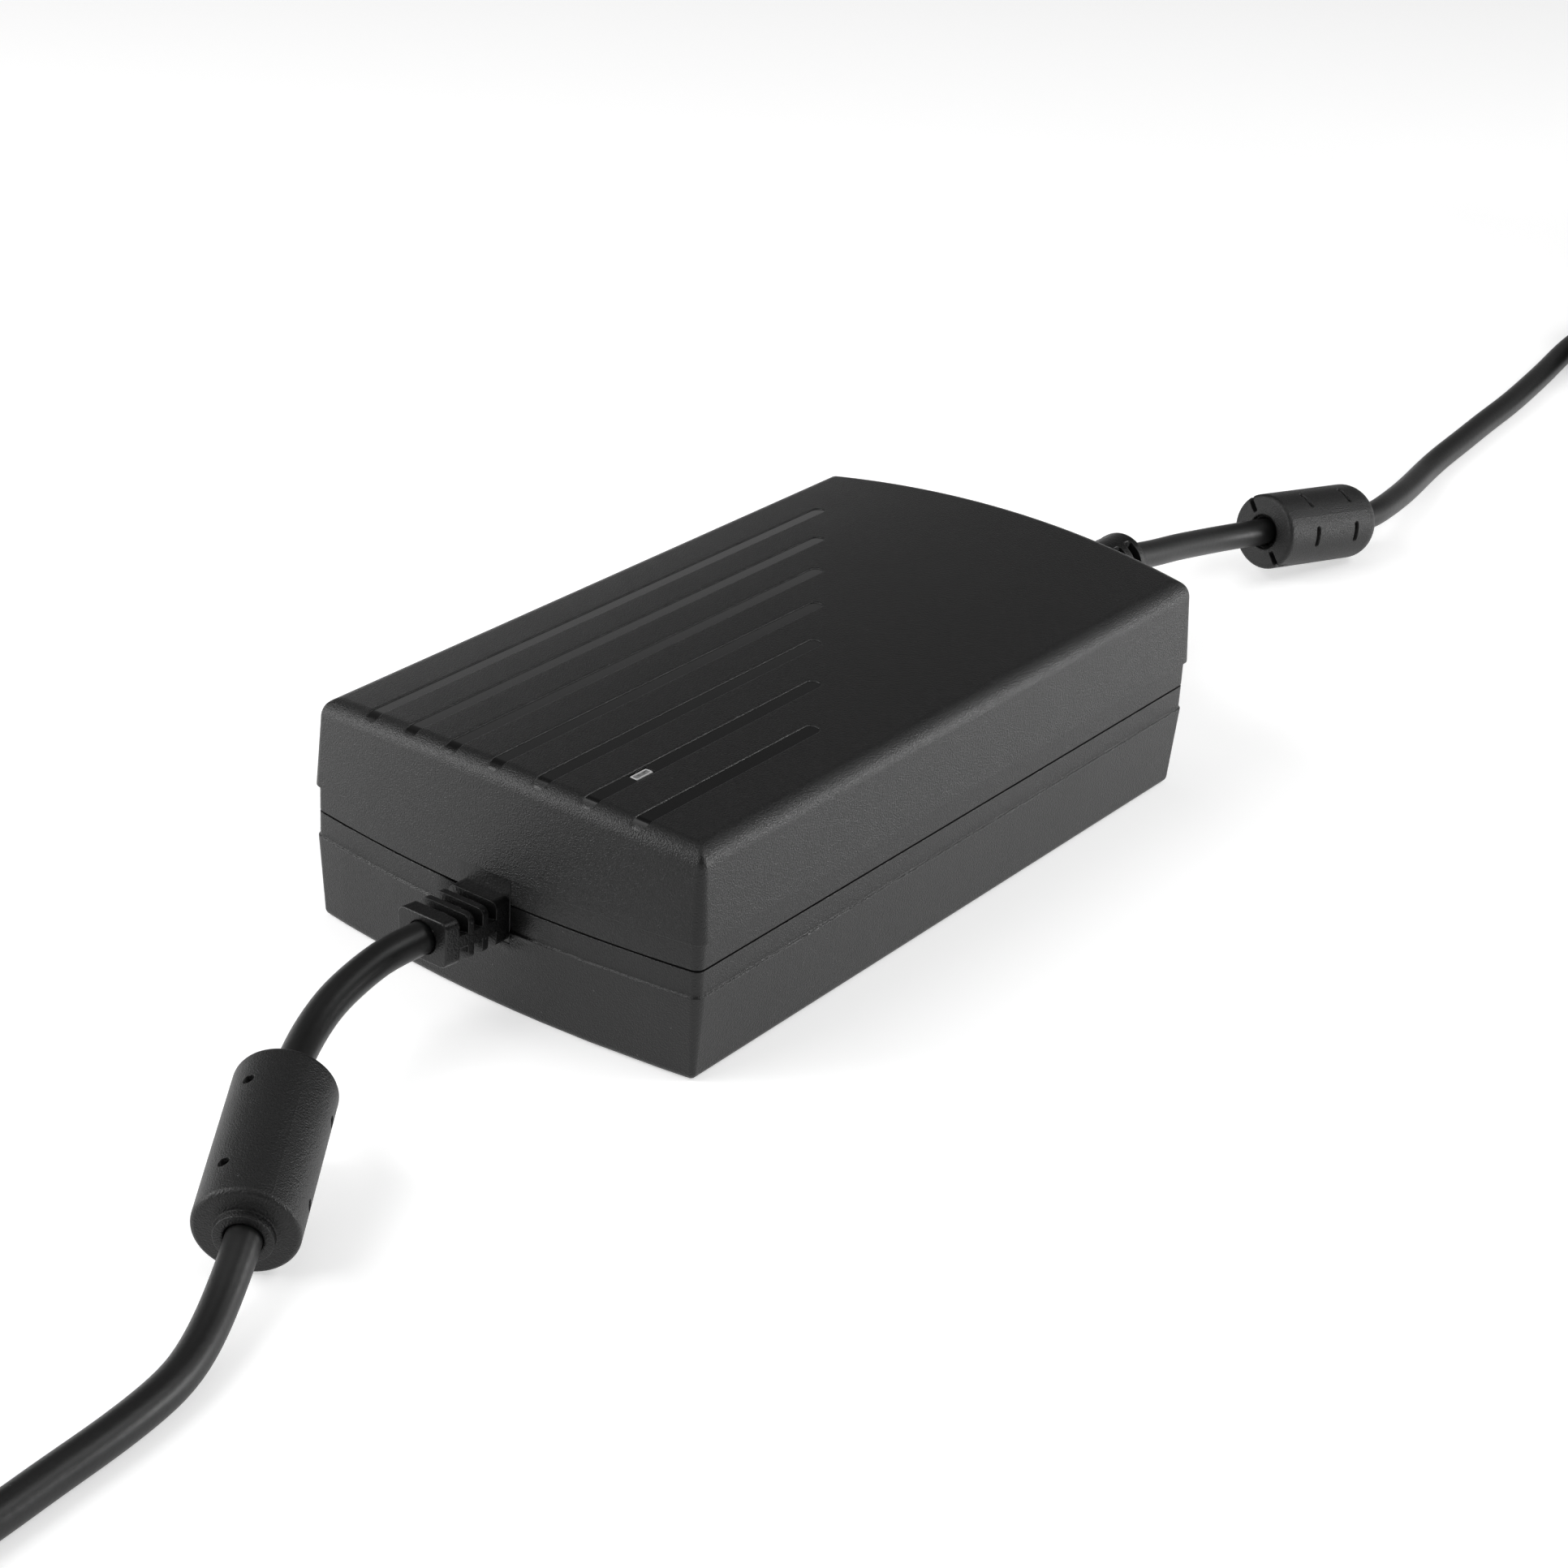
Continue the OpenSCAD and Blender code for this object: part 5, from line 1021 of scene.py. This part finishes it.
slots, slot_half = BOOT_X + np.array([[2.5], [7], [11]]), np.array([[1.2], [1], [1]])
near = np.linspace(-0.15, 0.15, 5)
x = in_order(3, np.linspace(BOOT_X + 0.2, BOOT_TIP - BOOT_EDGE, 22), slots - slot_half + near,
             slots + slot_half + near)
turn = all_round(128)
about = BOOT_R * abs((turn + np.pi / 2) % np.pi - np.pi / 2)
cut = np.max([step_in(np.hypot(np.maximum(about - (SLOT_ARC - h), 0), x[:, None] - m) - h, 0.2)
              for m, h in zip(slots, slot_half)], axis=0)
edge = np.radians([25, 50, 75, 90])
end = np.concatenate([BOOT_R - BOOT_EDGE + BOOT_EDGE * np.cos(edge), [3.7, 3.3, 2.95]])
radius = np.vstack([BOOT_R + (BOOT_CORE - BOOT_R) * cut, np.repeat(end[:, None], len(turn), 1)])
x = np.concatenate([x, BOOT_TIP - BOOT_EDGE + BOOT_EDGE * np.sin(edge), BOOT_TIP - np.array([0, 0.15, 0.5])])
boot = stack_x(x, radius[..., None] * ray(turn), (0, NOSE_Z))
patches += capped(boot, [x[0], 0, NOSE_Z], [x[-1], 0, NOSE_Z])
piece("mains_connector", patches, relief_soft, "mains_lead", "plug_plastic", "mains_connector")

# Mains lead: three cores in the same round jacket, held in the connector's boot.
# It passes its sleeve, runs along the floor and is put away as a tied coil that ends in its plug.
mains_route = [
    (118.6, 0, 19.9), (119.65, 0, 19.75), (125.2, 0, 18.8), (131.2, -0.2, 17.7), (140.2, -0.2, 16.2),
    (149.3, -0.4, 14.6), (159, -1.1, 13), (169.3, -3, 11.7), (187.2, -7.4, 9.52), (205.1, -11.8, 7.34),
    (213.7, -11.3, 6.6), (220.4, -10.2, 5.9), (227.6, -8.9, 5.2), (235.2, -7.3, 4.4), (242.8, -5.6, 3.7),
    (250.4, -3.9, 3.1), (263.4, -1.8, 2.8), (277.4, -0.3, 2.8), (294, 1.5, 2.8), (309.5, 3, 2.8),
    (325, 5, 2.8), (341, 7.4, 2.8), (355, 9.6, 3), (367, 10.8, 3.4), (380, 11, 3.8)]
mains_tail = [(403.2, 11, 10.6), (413.2, 11, 11.8), (424.2, 11, 12.5)]
mains_line = lead_line(mains_route, 4, 1, mains_tail)
mains_lead = piece("mains_lead_jacket", tube(mains_line, LEAD_D / 2, LEAD_SIDES), jacket, "mains_lead",
                   "jacket", "mains_lead", "mains_coil", "mains_tail")

# Mains ferrite sleeve: the same moulded skin and core, pushed on the mains lead.
# Sink slots run round it, and its near end has a shallow recess and two notches.
SINKS, SINK_AT, SINK_W, SINK_L, SINK_DEEP = (201, 265, 21, 85), 6.2, 4.4, 1.0, 0.9
NOTCHES, NOTCH_IN, NOTCH_W, NOTCH_L, NOTCH_DEEP = (140, 318), 4.9, 1.0, 1.5, 1.2
MAINS_SEAM, MAINS_RIDGE, FAR_EDGE, RECESS = 233, 0.03, 4.2, 0.8
half = 14.85
side = in_order(3, np.linspace(-half + 1.2, half - 4.4, 15),
                *[s * SINK_AT + np.linspace(-0.75, 0.75, 13) for s in (-1, 1)])
recess = [(BORE_R, RECESS), (3.6, RECESS), (3.66, 0.35), (3.8, 0.1), (4.05, 0), (4.5, 0)]
profile = ([(r, up - half) for r, up in recess] + [(r, -half) for r in np.linspace(4.75, flat - 0.1, 9)]
           + round_edge(flat, -half + 1, SLEEVE_EDGE, -90, 0, 9) + [(SLEEVE_R, z) for z in side]
           + round_edge(SLEEVE_R - FAR_EDGE, half - FAR_EDGE, FAR_EDGE, 0, 90, 13)
           + [(3.3, half), (BORE_R, half - 0.2)] + pocket(half))


def sink_slots(r, z, angle):
    """Slots 4.4 mm round by 1 mm along the side, two notches in the near end and a fine mould line."""
    deep = 0 * (z + angle)
    on_side = (r > SLEEVE_R - 0.01)
    for place in SINKS:
        for s in (-1, 1):
            round_it = abs(SLEEVE_R * turn_from(angle, place)) - (SINK_W - SINK_L) / 2
            far = np.hypot(np.maximum(round_it, 0), z - s * SINK_AT) - SINK_L / 2
            deep = np.maximum(deep, SINK_DEEP * step_in(far, SOFT_EDGE) * on_side)
    near_end = np.clip((NOTCH_L - half - z) / 0.5, 0, 1) * (r > NOTCH_IN - 0.3)
    for place in NOTCHES:
        far = np.maximum(abs(r * turn_from(angle, place)) - NOTCH_W / 2, NOTCH_IN - r)
        deep = np.maximum(deep, NOTCH_DEEP * step_in(far, 0.2) * near_end)
    return deep - MAINS_RIDGE * mould_line(angle, MAINS_SEAM) * on_side


angles = np.unique(np.concatenate([columns(SINKS, 0.31, 37), columns(NOTCHES, 0.12, 17),
                                   np.radians(MAINS_SEAM) + LINE_ANGLES]))
skin = in_frame(marked(profile, angles, sink_slots), mains_route[7], mains_route[9])
piece("mains_ferrite_sleeve", [grid(skin, wrap=True, ring=True)],
      sleeve_plastic, "mains_lead", "sleeve_plastic", "mains_ferrite_sleeve")

# Mains tie: the same soft black strap, wrapped round the mains lead's bundle.
# The bundle has one turn fewer, so the strap is shorter.
piece("mains_tie_strap", strap((416.4, -26, STRAP_Z), 20.4, BUNDLE_H), strap_finish, "mains_lead",
      "soft_plastic", "mains_tie")

# Mains plug body: hard-wearing plastic moulded round the blades and the earth pin.
# A ribbed tail bends with the lead, and a flange behind the face keeps the fingers off the blades.
PLUG_MIDDLE = (11, 12.5)
t = np.linspace(0, 1, 9)
# place along the lead and diameter of the ribbed tail
tail = np.array([(423.2, 6.6), (423.4, 7.1), (425.2, 7.3), (425.3, 9.0), (427.3, 9.2), (427.4, 7.6),
                 (429.4, 7.8), (429.5, 9.8), (431.5, 10), (431.6, 8.2), (433.6, 8.4), (433.7, 10.6),
                 (435.7, 10.8), (435.8, 8.8), (437.8, 9.2), (437.9, 11.2), (440.5, 11.6)])
# place, width, height and corner radius
rows = np.vstack([
    np.stack([tail[:, 0], tail[:, 1], tail[:, 1], tail[:, 1] / 2], 1),
    [(442, 12.4, 11.8, 5.8), (444, 14.6, 13, 5.4)],
    np.stack([446 + 17.2 * t, 16 + 7 * ease(t), 14 + 7.6 * ease(t), 5 + 0 * t], 1),
    [(469.8, 23, 21.6, 5), (470.2, 25.8, 23.4, 4.4), (470.5, 26.6, 24.2, 4.1), (471, 27, 24.6, 4),
     (476.4, 27, 24.6, 4), (476.9, 26.6, 24.2, 3.8), (477.2, 25.8, 23.4, 3.4)]])
x = rows[:, 0]
inner, out, r = rounded(*rows[:, 1:].T, 12, 6, 6)
plug = capped(stack_x(x, inner + r * out, PLUG_MIDDLE), [x[0], *PLUG_MIDDLE], [x[-1], *PLUG_MIDDLE])
piece("mains_plug_body", plug, relief_soft, "mains_lead", "plug_plastic", "mains_plug_body")
(mains_line * MM).tolist()

# Size of the dressed part, kept: the box round every shown piece and solid but the floor
low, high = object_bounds()
